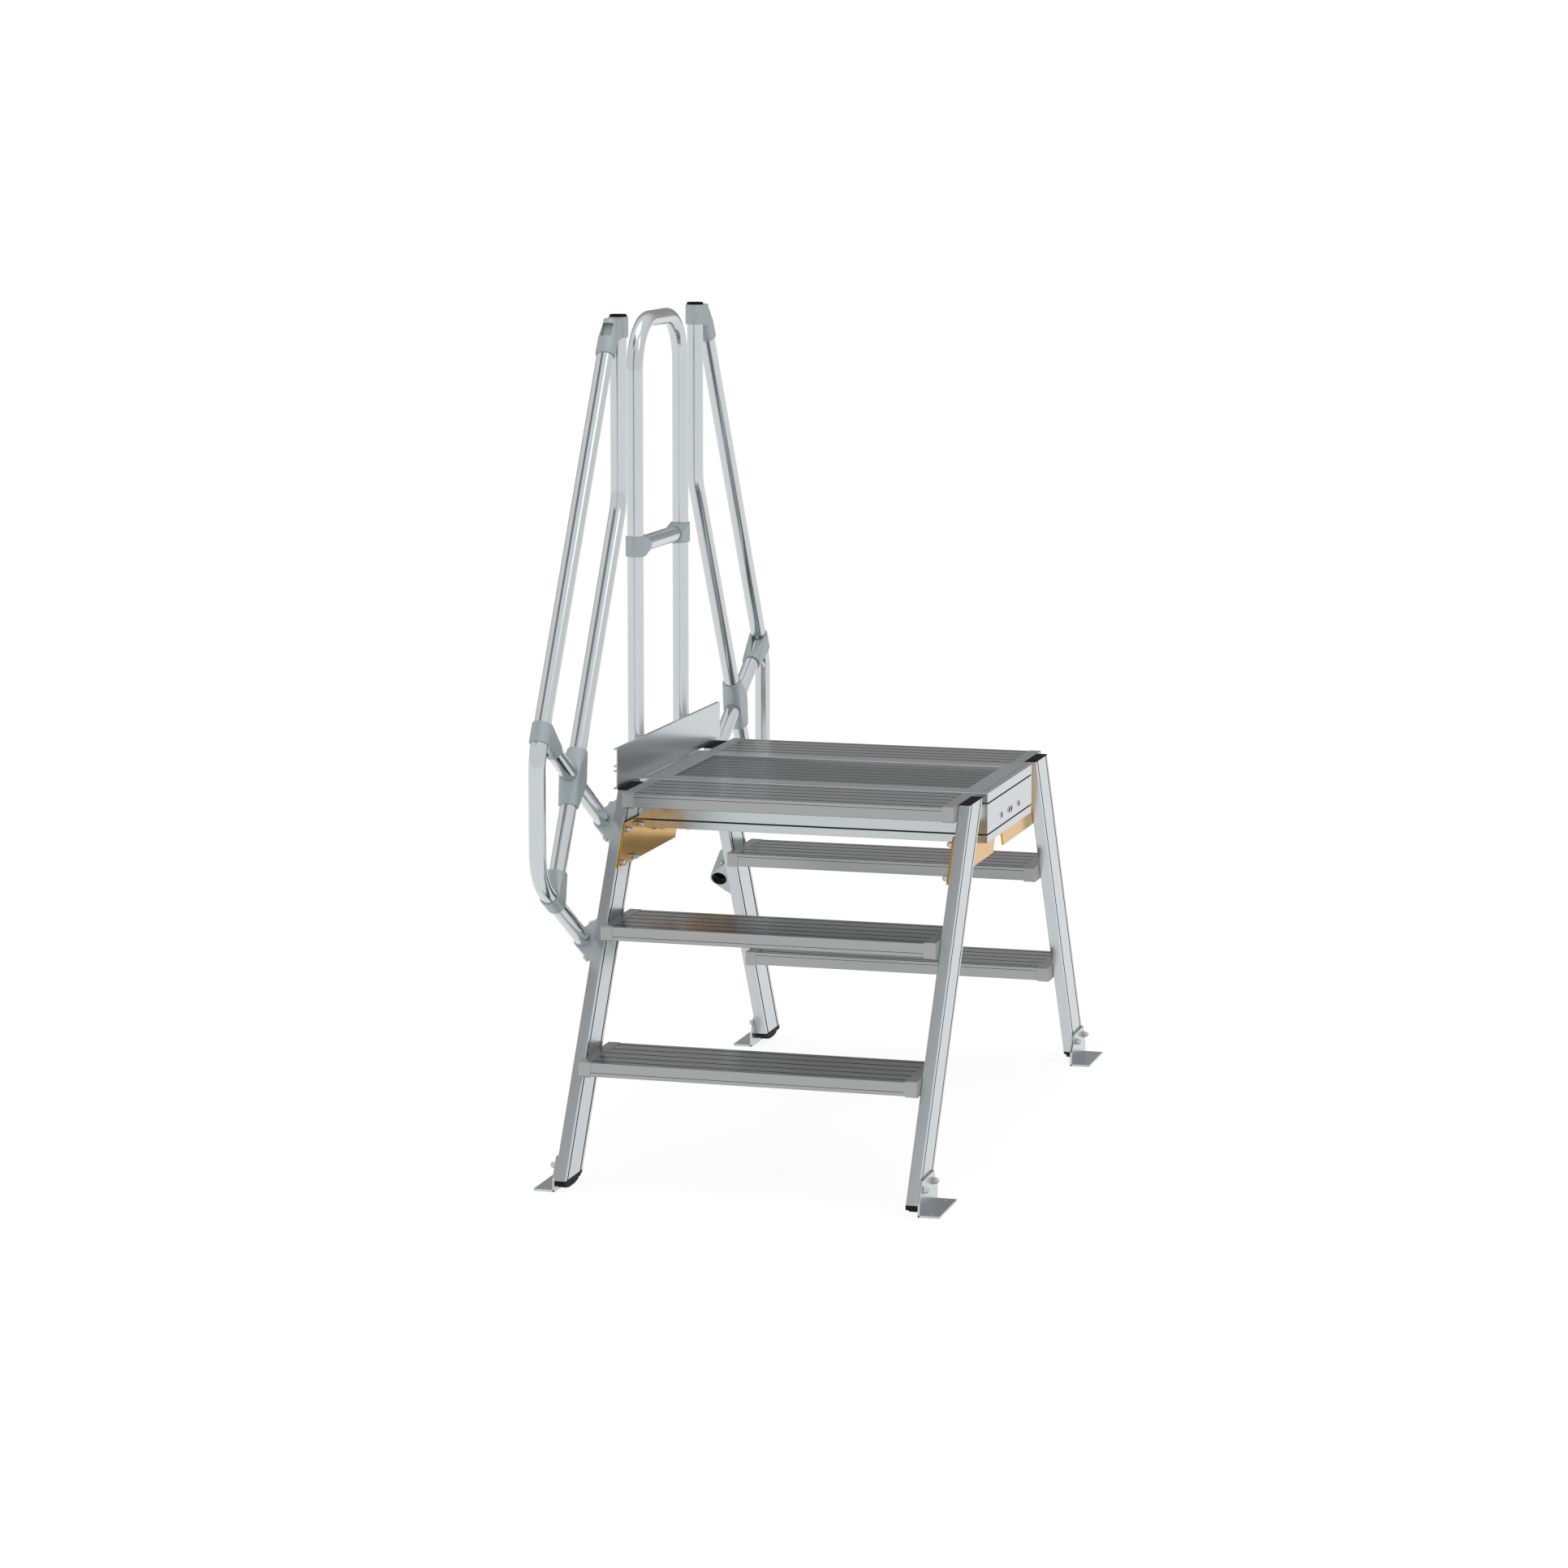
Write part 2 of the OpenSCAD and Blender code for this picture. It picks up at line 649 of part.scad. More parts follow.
module top_clamp(front) {
    s1 = hand_top_s();
    high = platform_h + rail_top - 2;
    low = high - sleeve_l;
    color("#9fabac") rail_side(front) difference() {
        union() {
            bar([-post_y, low], [-post_y, high], clamp_r);
            intersection() {
                bar(rail_pt(s1 - 44, hand_off), rail_pt(s1 + 40, hand_off), clamp_r);
                translate([-clamp_r - 1, -post_y - 300, low - 100]) cube([2 * clamp_r + 2, 400, 100 + sleeve_l]);
            }
            intersection() {
                translate([-8, 0, 0]) rotate([90, 0, 90]) linear_extrude(16)
                    polygon([
                        [-post_y, high - 4], rail_pt(s1 + 30, hand_off),
                        rail_pt(s1 - 14, hand_off), [-post_y, low + 10]
                    ]);
                translate([-10, -post_y - 300, low - 100]) cube([20, 400, 100 + sleeve_l]);
            }
        }
        bar([-post_y, low - 1], [-post_y, high + 1], bore_r);
        bar(rail_pt(s1 - 60, hand_off), rail_pt(s1 + 0.3, hand_off), bore_r);
    }
}

// Flat web of a clamp, drawn in the rail plane
module clamp_web(pts) {
    translate([-web_t / 2, 0, 0]) rotate([90, 0, 90]) linear_extrude(web_t) polygon(pts);
}

module knee_clamp(front) {
    h = sleeve_l / 2;
    e = clamp_r - 6;
    p = rail_pt(-brace_up, hand_off);
    color("#9fabac") rail_side(front) translate([0, p[0], p[1]]) rotate([-lean, 0, 0]) difference() {
        union() {
            cylinder(r = clamp_r, h = 2 * h, center = true);
            rotate([-90, 0, 0]) cylinder(r = clamp_r, h = branch_l);
            clamp_web([[0, -h], [e, -h], [branch_l, -e], [branch_l, e], [e, h], [0, h]]);
        }
        cylinder(r = bore_r, h = 2 * max(h, clamp_r) + 2, center = true);
        rotate([-90, 0, 0]) cylinder(r = bore_r, h = branch_l + 1);
    }
}

module cross_clamp(front) {
    h = cross_l / 2;
    w = bore_r + 12;
    e = clamp_r - 6;
    p = rail_pt(-brace_up, post_off);
    color("#9fabac") rail_side(front) translate([0, p[0], p[1]]) rotate([-lean, 0, 0]) difference() {
        union() {
            cylinder(r = clamp_r, h = 2 * h, center = true);
            rotate([90, 0, 0]) cylinder(r = clamp_r, h = 2 * w, center = true);
            clamp_web([[e, -h], [w, -e], [w, e], [e, h], [-e, h], [-w, e], [-w, -e], [-e, -h]]);
        }
        cylinder(r = bore_r, h = 2 * h + 2, center = true);
        rotate([90, 0, 0]) cylinder(r = bore_r, h = 2 * w + 2, center = true);
    }
}

module low_clamp(front) {
    h = sleeve_l / 2 + 3;
    up = 57;
    e = clamp_r - 6;
    p = rail_pt(-brace_low, post_off);
    color("#9fabac") rail_side(front) translate([0, p[0], p[1]]) rotate([-lean, 0, 0]) difference() {
        union() {
            rotate([90, 0, 0]) cylinder(r = clamp_r, h = 2 * h, center = true);
            cylinder(r = clamp_r, h = up);
            clamp_web([[-h, 0], [-h, e], [-e, up], [e, up], [h, e], [h, 0]]);
        }
        rotate([90, 0, 0]) cylinder(r = bore_r, h = 2 * h + 2, center = true);
        cylinder(r = bore_r, h = up + 1);
    }
}

// Tube socket on a foot plate. The socket axis is along Z, the foot lies at x = rail_out.
function socket_web() = socket_foot / 2 - 3;
function flank_turn() = acos(clamp_r / norm([rail_out - 4, socket_web()])) + atan2(socket_web(), rail_out - 4);
function flank_len() = sqrt(pow(rail_out - 4, 2) + pow(socket_web(), 2) - pow(clamp_r, 2));

module tube_socket() {
    web = socket_web();
    tx = clamp_r * cos(flank_turn());
    ty = clamp_r * sin(flank_turn());
    difference() {
        union() {
            cylinder(r = clamp_r, h = socket_l);
            linear_extrude(socket_l)
                polygon([
                    [tx, ty], [rail_out - 4, web], [rail_out, web + 3],
                    [rail_out, -web - 3], [rail_out - 4, -web], [tx, -ty]
                ]);
        }
        translate([0, 0, -1]) cylinder(r = bore_r, h = socket_l + 2);
    }
}

// Frame at a brace on the rail plane, Z pointing outward from the stringer
module at_brace(s) {
    translate([0, -slope_y(-s, -socket_l - 4), slope_z(-s, -socket_l - 4)])
        rotate([slope, 0, 0]) children();
}

module sockets(front) {
    color("#aab4b6") rail_side(front) for (s = [brace_up, brace_low]) at_brace(s) tube_socket();
}

module hoop_sockets() {
    color("#aab4b6") for (k = [-1, 1])
        translate([-rail_x, k * hoop_y, beam_low + 8]) tube_socket();
}

// Hexagon screws with washers on the sloping flanks of a socket
module socket_screws() {
    for (k = [-1, 1], z = [11, socket_l - 11])
        rotate([0, 0, k * flank_turn()]) translate([clamp_r, -k * (flank_len() - 11), z])
            rotate([0, 90, 0]) {
                cylinder(r = 7, h = 1);
                translate([0, 0, 1]) cylinder(r = 6.2, h = 5, $fn = 6);
            }
}

module socket_bolts() {
    color("#c9cccd") {
        for (f = [true, false]) rail_side(f)
            for (s = [brace_up, brace_low]) at_brace(s) socket_screws();
        for (k = [-1, 1])
            translate([-rail_x, k * hoop_y, beam_low + 8]) socket_screws();
    }
}

module post_plugs() {
    high = platform_h + rail_top - 2;
    color("#151617") for (f = [true, false]) rail_side(f) {
        translate([0, -post_y, high]) cylinder(r = rail_r + 0.8, h = 5);
        translate([0, -post_y, high - 14]) cylinder(r = rail_r - rail_wall - 0.1, h = 15);
    }
}

// ---------- Hoop and toe board ----------

function hoop_pts() = [
    [-hoop_y, beam_low + 12],
    [-hoop_y, platform_h + hoop_h],
    [hoop_y, platform_h + hoop_h],
    [hoop_y, beam_low + 12]
];

module hoop() {
    color("#cdd2d4") translate([-rail_x, 0, 0]) tube_run(hoop_pts());
}

module hoop_rail() {
    z = platform_h + mid_h;
    e = hoop_y - bore_r - 2;
    color("#cdd2d4") translate([-rail_x, 0, 0]) tube_run([[-e, z], [e, z]]);
}

module hoop_tees() {
    z = platform_h + mid_h;
    h = sleeve_l / 2;
    e = clamp_r - 6;
    color("#9fabac") translate([-rail_x, 0, 0]) for (k = [-1, 1]) difference() {
        union() {
            bar([k * hoop_y, z - h], [k * hoop_y, z + h], clamp_r);
            bar([k * hoop_y, z], [k * (hoop_y - 50), z], clamp_r);
            clamp_web([
                [k * hoop_y, z - h], [k * (hoop_y - e), z - h], [k * (hoop_y - 50), z - e],
                [k * (hoop_y - 50), z + e], [k * (hoop_y - e), z + h], [k * hoop_y, z + h]
            ]);
        }
        bar([k * hoop_y, z - max(h, clamp_r) - 1], [k * hoop_y, z + max(h, clamp_r) + 1], bore_r);
        bar([k * hoop_y, z], [k * (hoop_y - 51), z], bore_r);
    }
}

// Plate with four ribs on its outer side; the ribs lie against the hoop legs
module toe_board() {
    face = rail_x - rail_r - toe_t;
    z0 = platform_h + toe_gap;
    color("#b4bbbd") translate([-face, 0, z0]) rotate([90, 0, 0]) linear_extrude(toe_l, center = true)
        union() {
            translate([-toe_wall, 0]) square([toe_wall, toe_h]);
            for (z = [1.5, toe_h * 0.44, toe_h * 0.56, toe_h - 1.5]) {
                translate([-toe_t + 1.5, z - 1.5]) square([toe_t - 1.5 - toe_wall / 2, 3]);
                translate([-toe_t + 1.5, z]) circle(r = 1.5);
            }
        }
}

// ---------- Assembly ----------

for (f = [true, false], r = [true, false]) {
    tag = str(f ? "f" : "b", r ? "r" : "l");
    stringer(f, r);
    foot(f, r);
    floor_bracket(f, r);
    corner_plate(f, r);
}
for (f = [true, false], k = [1:3]) {
    tag = str(f ? "f" : "b", k);
    tread(f, k);
    tread_caps(f, k);
}
for (f = [true, false]) {
    tag = f ? "front" : "back";
    beam_cross(f);
    handrail(f);
    post(f);
    braces(f);
    top_clamp(f);
    knee_clamp(f);
    cross_clamp(f);
    low_clamp(f);
    sockets(f);
}
top_plugs();
beam_side(false);  // beam_left
beam_side(true);  // beam_right
deck_panel();
toe_board();
hoop();
hoop_rail();
hoop_tees();
hoop_sockets();
post_plugs();
floor_bolts();
plate_bolts();
socket_bolts();
beam_rivets();
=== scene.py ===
import math

import bmesh
import bpy
from mathutils import Matrix, Vector


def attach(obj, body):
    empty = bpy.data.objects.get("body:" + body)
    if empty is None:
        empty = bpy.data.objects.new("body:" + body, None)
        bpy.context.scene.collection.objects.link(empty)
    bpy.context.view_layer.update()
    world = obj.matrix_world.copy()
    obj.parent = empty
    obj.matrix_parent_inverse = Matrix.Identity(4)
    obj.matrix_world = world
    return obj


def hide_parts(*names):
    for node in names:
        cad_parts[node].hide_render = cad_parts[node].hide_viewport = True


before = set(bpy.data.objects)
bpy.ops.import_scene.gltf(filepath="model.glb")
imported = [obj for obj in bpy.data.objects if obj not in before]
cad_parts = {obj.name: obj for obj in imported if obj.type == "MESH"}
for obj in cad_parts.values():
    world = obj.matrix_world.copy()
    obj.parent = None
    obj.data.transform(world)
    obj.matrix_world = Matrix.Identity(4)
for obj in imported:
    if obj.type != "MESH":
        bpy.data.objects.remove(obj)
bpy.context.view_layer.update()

# ---------- Sizes in metres, as in the part ----------

SLOPE = math.radians(59.5)
COS = math.cos(SLOPE)
SIN = math.sin(SLOPE)
RISE = 0.240
TOP = 3 * RISE
RUN = RISE / math.tan(SLOPE)
IN_X = 0.335
STRINGER_T = 0.0225
OUT_X = IN_X + STRINGER_T
STRINGER_D = 0.0925
STRINGER_FLAT = STRINGER_D / SIN
HALF_PLATFORM = 0.392
EDGE_Y = HALF_PLATFORM - 0.0445
TREAD_D = 0.192
TREAD_IN = 0.311
FRAME_Y = HALF_PLATFORM - TREAD_D
BEAM_W = 0.052
BEAM_H = 0.100
BEAM_LOW = TOP - BEAM_H
RAIL_R = 0.0165
BORE_R = 0.01665
CLAMP_R = 0.01985
RAIL_X = 0.380
SLOT_MID = 0.01275
SLOT_FLAT = SLOT_MID / SIN
BEND_R = 0.100
FOOT_H = 0.023
LID_T = 0.002
PLATE_T = 0.0045
BRACKET_H = 0.065
NUT_R = 0.00648
SLEEVE_HALF = 0.0205
TUBE_GAP = BORE_R + 0.002


def edge_at(z):
    """How far out the outer edge of a stringer is at this height."""
    return EDGE_Y + (TOP - z) / math.tan(SLOPE)


def rail_point(s, n):
    """A place on the rail plane of the front ladder: s up the slope, n out from the stringer."""
    return Vector((-RAIL_X, -(EDGE_Y - s * COS + n * SIN), TOP + s * SIN + n * COS))


def s_at(y, n):
    """The place up the slope where the line at n stands y out."""
    return (EDGE_Y + n * SIN - y) / COS


def n_at(y, s):
    """How far out from the stringer the line at s stands y out."""
    return (y - EDGE_Y + s * COS) / SIN


# ---------- Shader maths ----------


class Value:
    """A number socket that takes the usual operators."""

    def __init__(self, tree, socket):
        self.tree = tree
        self.socket = socket

    def math(self, operation, *others):
        return self.tree.add("ShaderNodeMath", {"operation": operation}, *((self,) + others))

    def __add__(self, other):
        return self.math("ADD", other)

    def __radd__(self, other):
        return self.math("ADD", other)

    def __sub__(self, other):
        return self.math("SUBTRACT", other)

    def __rsub__(self, other):
        return self.tree.add("ShaderNodeMath", {"operation": "SUBTRACT"}, other, self)

    def __mul__(self, other):
        return self.math("MULTIPLY", other)

    def __rmul__(self, other):
        return self.math("MULTIPLY", other)


class Finish:
    """A material and its node tree."""

    def __init__(self, name):
        self.material = bpy.data.materials.new(name)
        self.material.use_nodes = True
        self.nodes = self.material.node_tree.nodes
        self.links = self.material.node_tree.links
        self.shader = self.nodes["Principled BSDF"]

    def add(self, kind, settings, *inputs, out=0, **named):
        node = self.nodes.new(kind)
        for key, value in settings.items():
            if key == "stops":
                ramp = node.color_ramp
                while len(ramp.elements) < len(value):
                    ramp.elements.new(0.5)
                for element, (place, shade) in zip(ramp.elements, value):
                    element.position = place
                    element.color = shade
            else:
                setattr(node, key, value)
        pairs = list(enumerate(inputs)) + [(k.replace("_", " "), v) for k, v in named.items()]
        for key, value in pairs:
            if isinstance(value, Value):
                self.links.new(value.socket, node.inputs[key])
            elif value is not None:
                node.inputs[key].default_value = value
        return Value(self, node.outputs[out])

    def place(self, turn=(0, 0, 0), scale=(1, 1, 1)):
        spot = self.add("ShaderNodeTexCoord", {}, out=3)
        return self.add("ShaderNodeMapping", {}, Vector=spot, Rotation=turn, Scale=scale)

    def noise(self, vector, scale, detail=3.0, rough=0.5):
        return self.add("ShaderNodeTexNoise", {}, Vector=vector, Scale=scale, Detail=detail, Roughness=rough)

    def mix(self, factor, first, second):
        node = self.nodes.new("ShaderNodeMix")
        node.data_type = "RGBA"
        for key, value in ((0, factor), (6, first), (7, second)):
            if isinstance(value, Value):
                self.links.new(value.socket, node.inputs[key])
            else:
                node.inputs[key].default_value = value
        return Value(self, node.outputs[2])

    def set(self, **values):
        for key, value in values.items():
            key = key.replace("_", " ")
            if isinstance(value, Value):
                self.links.new(value.socket, self.shader.inputs[key])
            else:
                self.shader.inputs[key].default_value = value

    def bump(self, height, strength, distance):
        self.set(Normal=self.add("ShaderNodeBump", {}, Height=height, Strength=strength, Distance=distance))


def shade(colour, factor):
    """A colour made lighter or darker."""
    return tuple(min(1.0, c * factor) for c in colour) + (1.0,)


def drawn_metal(name, colour, rough, turn=(0, 0, 0), along="Z", streak=0.03):
    """Drawn aluminium with fine lengthwise die lines and a little cloudiness."""
    f = Finish(name)
    scale = {"X": (0.6, 60, 60), "Y": (60, 0.6, 60), "Z": (60, 60, 0.6)}[along]
    lines = f.noise(f.place(turn, scale), 14.0, 4.0, 0.6)
    cloud = f.noise(f.place(), 9.0, 3.0, 0.5)
    mask = lines * 0.7 + cloud * 0.3
    f.set(Base_Color=f.mix(mask, shade(colour, 1 - streak), shade(colour, 1 + streak)))
    f.set(Metallic=1.0, Roughness=lines * 0.03 + cloud * 0.04 + (rough - 0.035))
    f.bump(lines, 0.025, 0.00002)
    return f.material


def tube_metal(name, colour, rough):
    """Smooth tube: faint clouds, fine even grain and hardly any relief."""
    f = Finish(name)
    cloud = f.noise(f.place(), 5.0, 3.0, 0.5)
    grit = f.noise(f.place(), 700.0, 2.0, 0.5)
    f.set(Base_Color=f.mix(cloud, shade(colour, 0.97), shade(colour, 1.03)))
    f.set(Metallic=1.0, Roughness=cloud * 0.05 + grit * 0.03 + (rough - 0.04))
    f.bump(grit, 0.03, 0.0001)
    return f.material


def cast_metal(name, colour, rough, grain=420.0, depth=0.18):
    """Blasted casting: fine grain and soft clouds."""
    f = Finish(name)
    grit = f.noise(f.place(), grain, 2.0, 0.6)
    cloud = f.noise(f.place(), 16.0, 3.0, 0.5)
    f.set(Base_Color=f.mix(cloud, shade(colour, 0.95), shade(colour, 1.05)))
    f.set(Metallic=0.85, Roughness=cloud * 0.1 + grit * 0.06 + (rough - 0.08))
    f.bump(grit, depth, 0.0003)
    return f.material


def tread_metal(name, colour, rough):
    """Milled tread: lines along X, dirt between them and scuffs from shoes."""
    f = Finish(name)
    lines = f.noise(f.place((0, 0, 0), (0.5, 90, 90)), 12.0, 4.0, 0.6)
    scuff = f.noise(f.place((0, 0, 0.3), (3, 9, 5)), 6.0, 2.0, 0.5)
    worn = f.add("ShaderNodeValToRGB", {"stops": [(0.45, (0, 0, 0, 1)), (0.85, (1, 1, 1, 1))]}, scuff)
    f.set(Base_Color=f.mix(worn * 0.4 + lines * 0.4, shade(colour, 0.97), shade(colour, 1.04)))
    f.set(Metallic=1.0, Roughness=lines * 0.02 + worn * 0.03 + (rough - 0.025))
    f.bump(lines, 0.01, 0.00001)
    return f.material


def coated(name, colour, rough):
    """Glossy coloured coat over bright metal."""
    f = Finish(name)
    peel = f.noise(f.place(), 240.0, 2.0, 0.5)
    cloud = f.noise(f.place(), 7.0, 3.0, 0.5)
    f.set(Base_Color=f.mix(cloud, shade(colour, 0.95), shade(colour, 1.05)))
    f.set(Metallic=0.9, Roughness=cloud * 0.06 + (rough - 0.03), Coat_Weight=0.06, Coat_Roughness=0.10)
    f.bump(peel, 0.04, 0.0002)
    return f.material


def plastic(name, colour, rough):
    """Moulded plastic or rubber: fine grain and soft clouds."""
    f = Finish(name)
    grit = f.noise(f.place(), 600.0, 2.0, 0.6)
    cloud = f.noise(f.place(), 20.0, 3.0, 0.5)
    f.set(Base_Color=f.mix(cloud, shade(colour, 0.8), shade(colour, 1.25)))
    f.set(Roughness=grit * 0.12 + (rough - 0.06), Specular_IOR_Level=0.08)
    f.bump(grit, 0.2, 0.0002)
    return f.material


LEAN = math.pi / 2 - SLOPE
ALU = (0.535, 0.565, 0.585)
stringer_front = drawn_metal("stringer_front_alu", ALU, 0.24, (LEAN, 0, 0))
stringer_back = drawn_metal("stringer_back_alu", ALU, 0.24, (-LEAN, 0, 0))
beam_alu_x = drawn_metal("beam_alu_x", ALU, 0.22, along="X")
beam_alu_y = drawn_metal("beam_alu_y", ALU, 0.22, along="Y")
# Near-black finish for slot, groove and bore faces and tube insides: painted shade where little light
# reaches.
slot_shade = cast_metal("slot_shade", (0.07, 0.075, 0.08), 0.6)
tread_alu = tread_metal("tread_alu", (0.365, 0.37, 0.368), 0.24)
cap_alu = cast_metal("tread_cap_alu", (0.37, 0.375, 0.373), 0.30, 300.0, 0.006)
deck_alu = tread_metal("deck_alu", (0.20, 0.205, 0.205), 0.30)
plate_coat = coated("corner_plate_coat", (0.64, 0.33, 0.022), 0.15)
bracket_alu = drawn_metal("bracket_alu", ALU, 0.24, along="Y")
rubber = plastic("foot_rubber", (0.010, 0.010, 0.011), 0.6)
lid_plastic = plastic("lid_plastic", (0.004, 0.004, 0.0045), 0.7)
tube_alu = tube_metal("tube_alu", (0.575, 0.605, 0.62), 0.15)
clamp_alu = cast_metal("clamp_alu", (0.38, 0.43, 0.44), 0.48)
socket_alu = cast_metal("socket_alu", (0.44, 0.49, 0.50), 0.46)
toe_alu = drawn_metal("toe_alu", (0.52, 0.555, 0.575), 0.22, along="Y")
steel = cast_metal("bolt_steel", (0.52, 0.52, 0.51), 0.17, 900.0, 0.03)

# ---------- Making pieces ----------


def put(name, bm, material, nodes):
    """Turns a finished bmesh into a piece that rides on the bridge and stands for its nodes."""
    bmesh.ops.remove_doubles(bm, verts=bm.verts, dist=2e-6)
    bmesh.ops.recalc_face_normals(bm, faces=bm.faces)
    limit = math.radians(34)
    for face in bm.faces:
        face.smooth = True
    for edge in bm.edges:
        edge.smooth = len(edge.link_faces) == 2 and edge.calc_face_angle() < limit
    mesh = bpy.data.meshes.new(name)
    bm.to_mesh(mesh)
    bm.free()
    mesh.materials.append(material)
    # Marked faces take the near-black slot_shade finish, painted shade in hollows.
    if any(p.material_index for p in mesh.polygons):
        mesh.materials.append(slot_shade)
    obj = bpy.data.objects.new(name, mesh)
    bpy.context.scene.collection.objects.link(obj)
    even = obj.modifiers.new("even", "WEIGHTED_NORMAL")
    even.mode = "FACE_AREA"
    even.weight = 50
    even.keep_sharp = True
    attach(obj, "root")
    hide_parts(*nodes)


def join(*parts):
    """One bmesh that holds all of these."""
    whole = bmesh.new()
    for bm in parts:
        mesh = bpy.data.meshes.new("join")
        bm.to_mesh(mesh)
        bm.free()
        whole.from_mesh(mesh)
        bpy.data.meshes.remove(mesh)
    return whole


def flipped(bm, x=1, y=1):
    """A mirrored copy."""
    new = bm.copy()
    bmesh.ops.scale(new, verts=new.verts, vec=(x, y, 1))
    if x * y < 0:
        bmesh.ops.reverse_faces(new, faces=new.faces)
    return new


def rounded(bm, edges, width, segments):
    """Rounds the given edges."""
    bmesh.ops.bevel(
        bm,
        geom=edges,
        offset=width,
        offset_type="OFFSET",
        segments=segments,
        profile=0.5,
        affect="EDGES",
        clamp_overlap=True,
        material=-1,
    )
    return bm


def soften(bm, width, segments=2, angle=25, keep=None):
    """Rounds every edge sharper than the angle."""
    limit = math.radians(angle)
    edges = [
        e
        for e in bm.edges
        if len(e.link_faces) == 2 and e.calc_face_angle() > limit and (keep is None or keep(e))
    ]
    return rounded(bm, edges, width, segments)


def bar(points, length, rounds=()):
    """A profile in X and Y drawn out along Z. rounds lists (places, width, segments)."""
    bm = bmesh.new()
    face = bm.faces.new([bm.verts.new((u, v, 0)) for u, v in points])
    made = bmesh.ops.extrude_face_region(bm, geom=[face])
    ends = [g for g in made["geom"] if isinstance(g, bmesh.types.BMVert)]
    bmesh.ops.translate(bm, verts=ends, vec=(0, 0, length))
    for places, width, segments in rounds:
        spots = [Vector(points[i]) for i in places]
        edges = [
            e
            for e in bm.edges
            if abs(e.verts[0].co.z - e.verts[1].co.z) > length / 2
            and min((e.verts[0].co.xy - p).length for p in spots) < 1e-6
        ]
        rounded(bm, edges, width, segments)
    return bm


def mark(bm, inside):
    """Gives the faces whose middle lies inside the near-black slot_shade finish, which stands for painted
    shade in hollows.
    """
    for face in bm.faces:
        if inside(face.calc_center_median()):
            face.material_index = 1
    return bm


def set_in(bm, origin, x_axis, y_axis, z_axis):
    """Places a local bmesh: its X, Y and Z run along the given directions."""
    m = Matrix((x_axis, y_axis, z_axis)).transposed().to_4x4()
    m.translation = Vector(origin)
    bmesh.ops.transform(bm, matrix=m, verts=bm.verts)
    return bm


def saw(bm, point, outward):
    """Cuts away what lies beyond a plane and closes the cut."""
    made = bmesh.ops.bisect_plane(
        bm,
        geom=bm.verts[:] + bm.edges[:] + bm.faces[:],
        dist=1e-6,
        plane_co=point,
        plane_no=outward,
        clear_outer=True,
    )
    rim = [g for g in made["geom_cut"] if isinstance(g, bmesh.types.BMEdge)]
    bmesh.ops.holes_fill(bm, edges=rim, sides=0)
    return bm


def carve(bm, *cutters):
    """bm less the cutters."""
    made = []
    for part in (bm,) + cutters:
        bmesh.ops.recalc_face_normals(part, faces=part.faces)
        mesh = bpy.data.meshes.new("carve")
        part.to_mesh(mesh)
        part.free()
        obj = bpy.data.objects.new("carve", mesh)
        bpy.context.scene.collection.objects.link(obj)
        made.append(obj)
    for cutter in made[1:]:
        m = made[0].modifiers.new("cut", "BOOLEAN")
        m.operation = "DIFFERENCE"
        m.solver = "EXACT"
        m.object = cutter
    bpy.context.view_layer.update()
    result = made[0].evaluated_get(bpy.context.evaluated_depsgraph_get())
    new = bmesh.new()
    new.from_mesh(result.to_mesh())
    for obj in made:
        mesh = obj.data
        bpy.data.objects.remove(obj)
        bpy.data.meshes.remove(mesh)
    return new


def rod(a, b, r, segments=32, r2=None):
    """A closed round bar from a to b."""
    a = Vector(a)
    b = Vector(b)
    bm = bmesh.new()
    tip = r if r2 is None else r2
    bmesh.ops.create_cone(bm, cap_ends=True, segments=segments, radius1=r, radius2=tip, depth=(b - a).length)
    turn = (b - a).to_track_quat("Z", "Y").to_matrix().to_4x4()
    bmesh.ops.transform(bm, matrix=Matrix.Translation((a + b) / 2) @ turn, verts=bm.verts)
    return bm


def swept_tube(points, sides=40, steps=14, wall=0.002):
    """A round tube along straight runs and true bends in a plane of constant X."""
    points = [Vector(p) for p in points]
    way = (points[1] - points[0]).normalized()
    bm = bmesh.new()
    ring = bmesh.ops.create_circle(bm, segments=sides, radius=RAIL_R)["verts"]
    turn = way.to_track_quat("Z", "X").to_matrix().to_4x4()
    bmesh.ops.transform(bm, matrix=Matrix.Translation(points[0]) @ turn, verts=ring)
    edges = bm.edges[:]
    here = points[0]
    for i in range(1, len(points)):
        last = i == len(points) - 1
        way = (points[i] - points[i - 1]).normalized()
        lost = 0.0
        if not last:
            after = (points[i + 1] - points[i]).normalized()
            angle = way.angle(after)
            lost = BEND_R * math.tan(angle / 2)
        goal = points[i] - way * lost
        made = bmesh.ops.extrude_edge_only(bm, edges=edges)["geom"]
        bmesh.ops.translate(bm, verts=[g for g in made if isinstance(g, bmesh.types.BMVert)], vec=goal - here)
        edges = [g for g in made if isinstance(g, bmesh.types.BMEdge)]
        here = goal
        if not last:
            axis = way.cross(after).normalized()
            centre = here + axis.cross(way) * BEND_R
            made = bmesh.ops.spin(
                bm, geom=edges, cent=centre, axis=axis, angle=angle, steps=steps, use_duplicate=False
            )["geom_last"]
            edges = [g for g in made if isinstance(g, bmesh.types.BMEdge)]
            here = points[i] + after * lost
    bmesh.ops.recalc_face_normals(bm, faces=bm.faces)
    first = set(bm.faces)
    bmesh.ops.solidify(bm, geom=bm.faces[:], thickness=wall)
    # The inner skin gets the near-black slot_shade finish: painted shade inside the tube.
    second = [f for f in bm.faces if f not in first and max(e.calc_length() for e in f.edges) > wall * 1.5]
    for face in min(first, second, key=lambda skin: sum(f.calc_area() for f in skin)):
        face.material_index = 1
    return bm


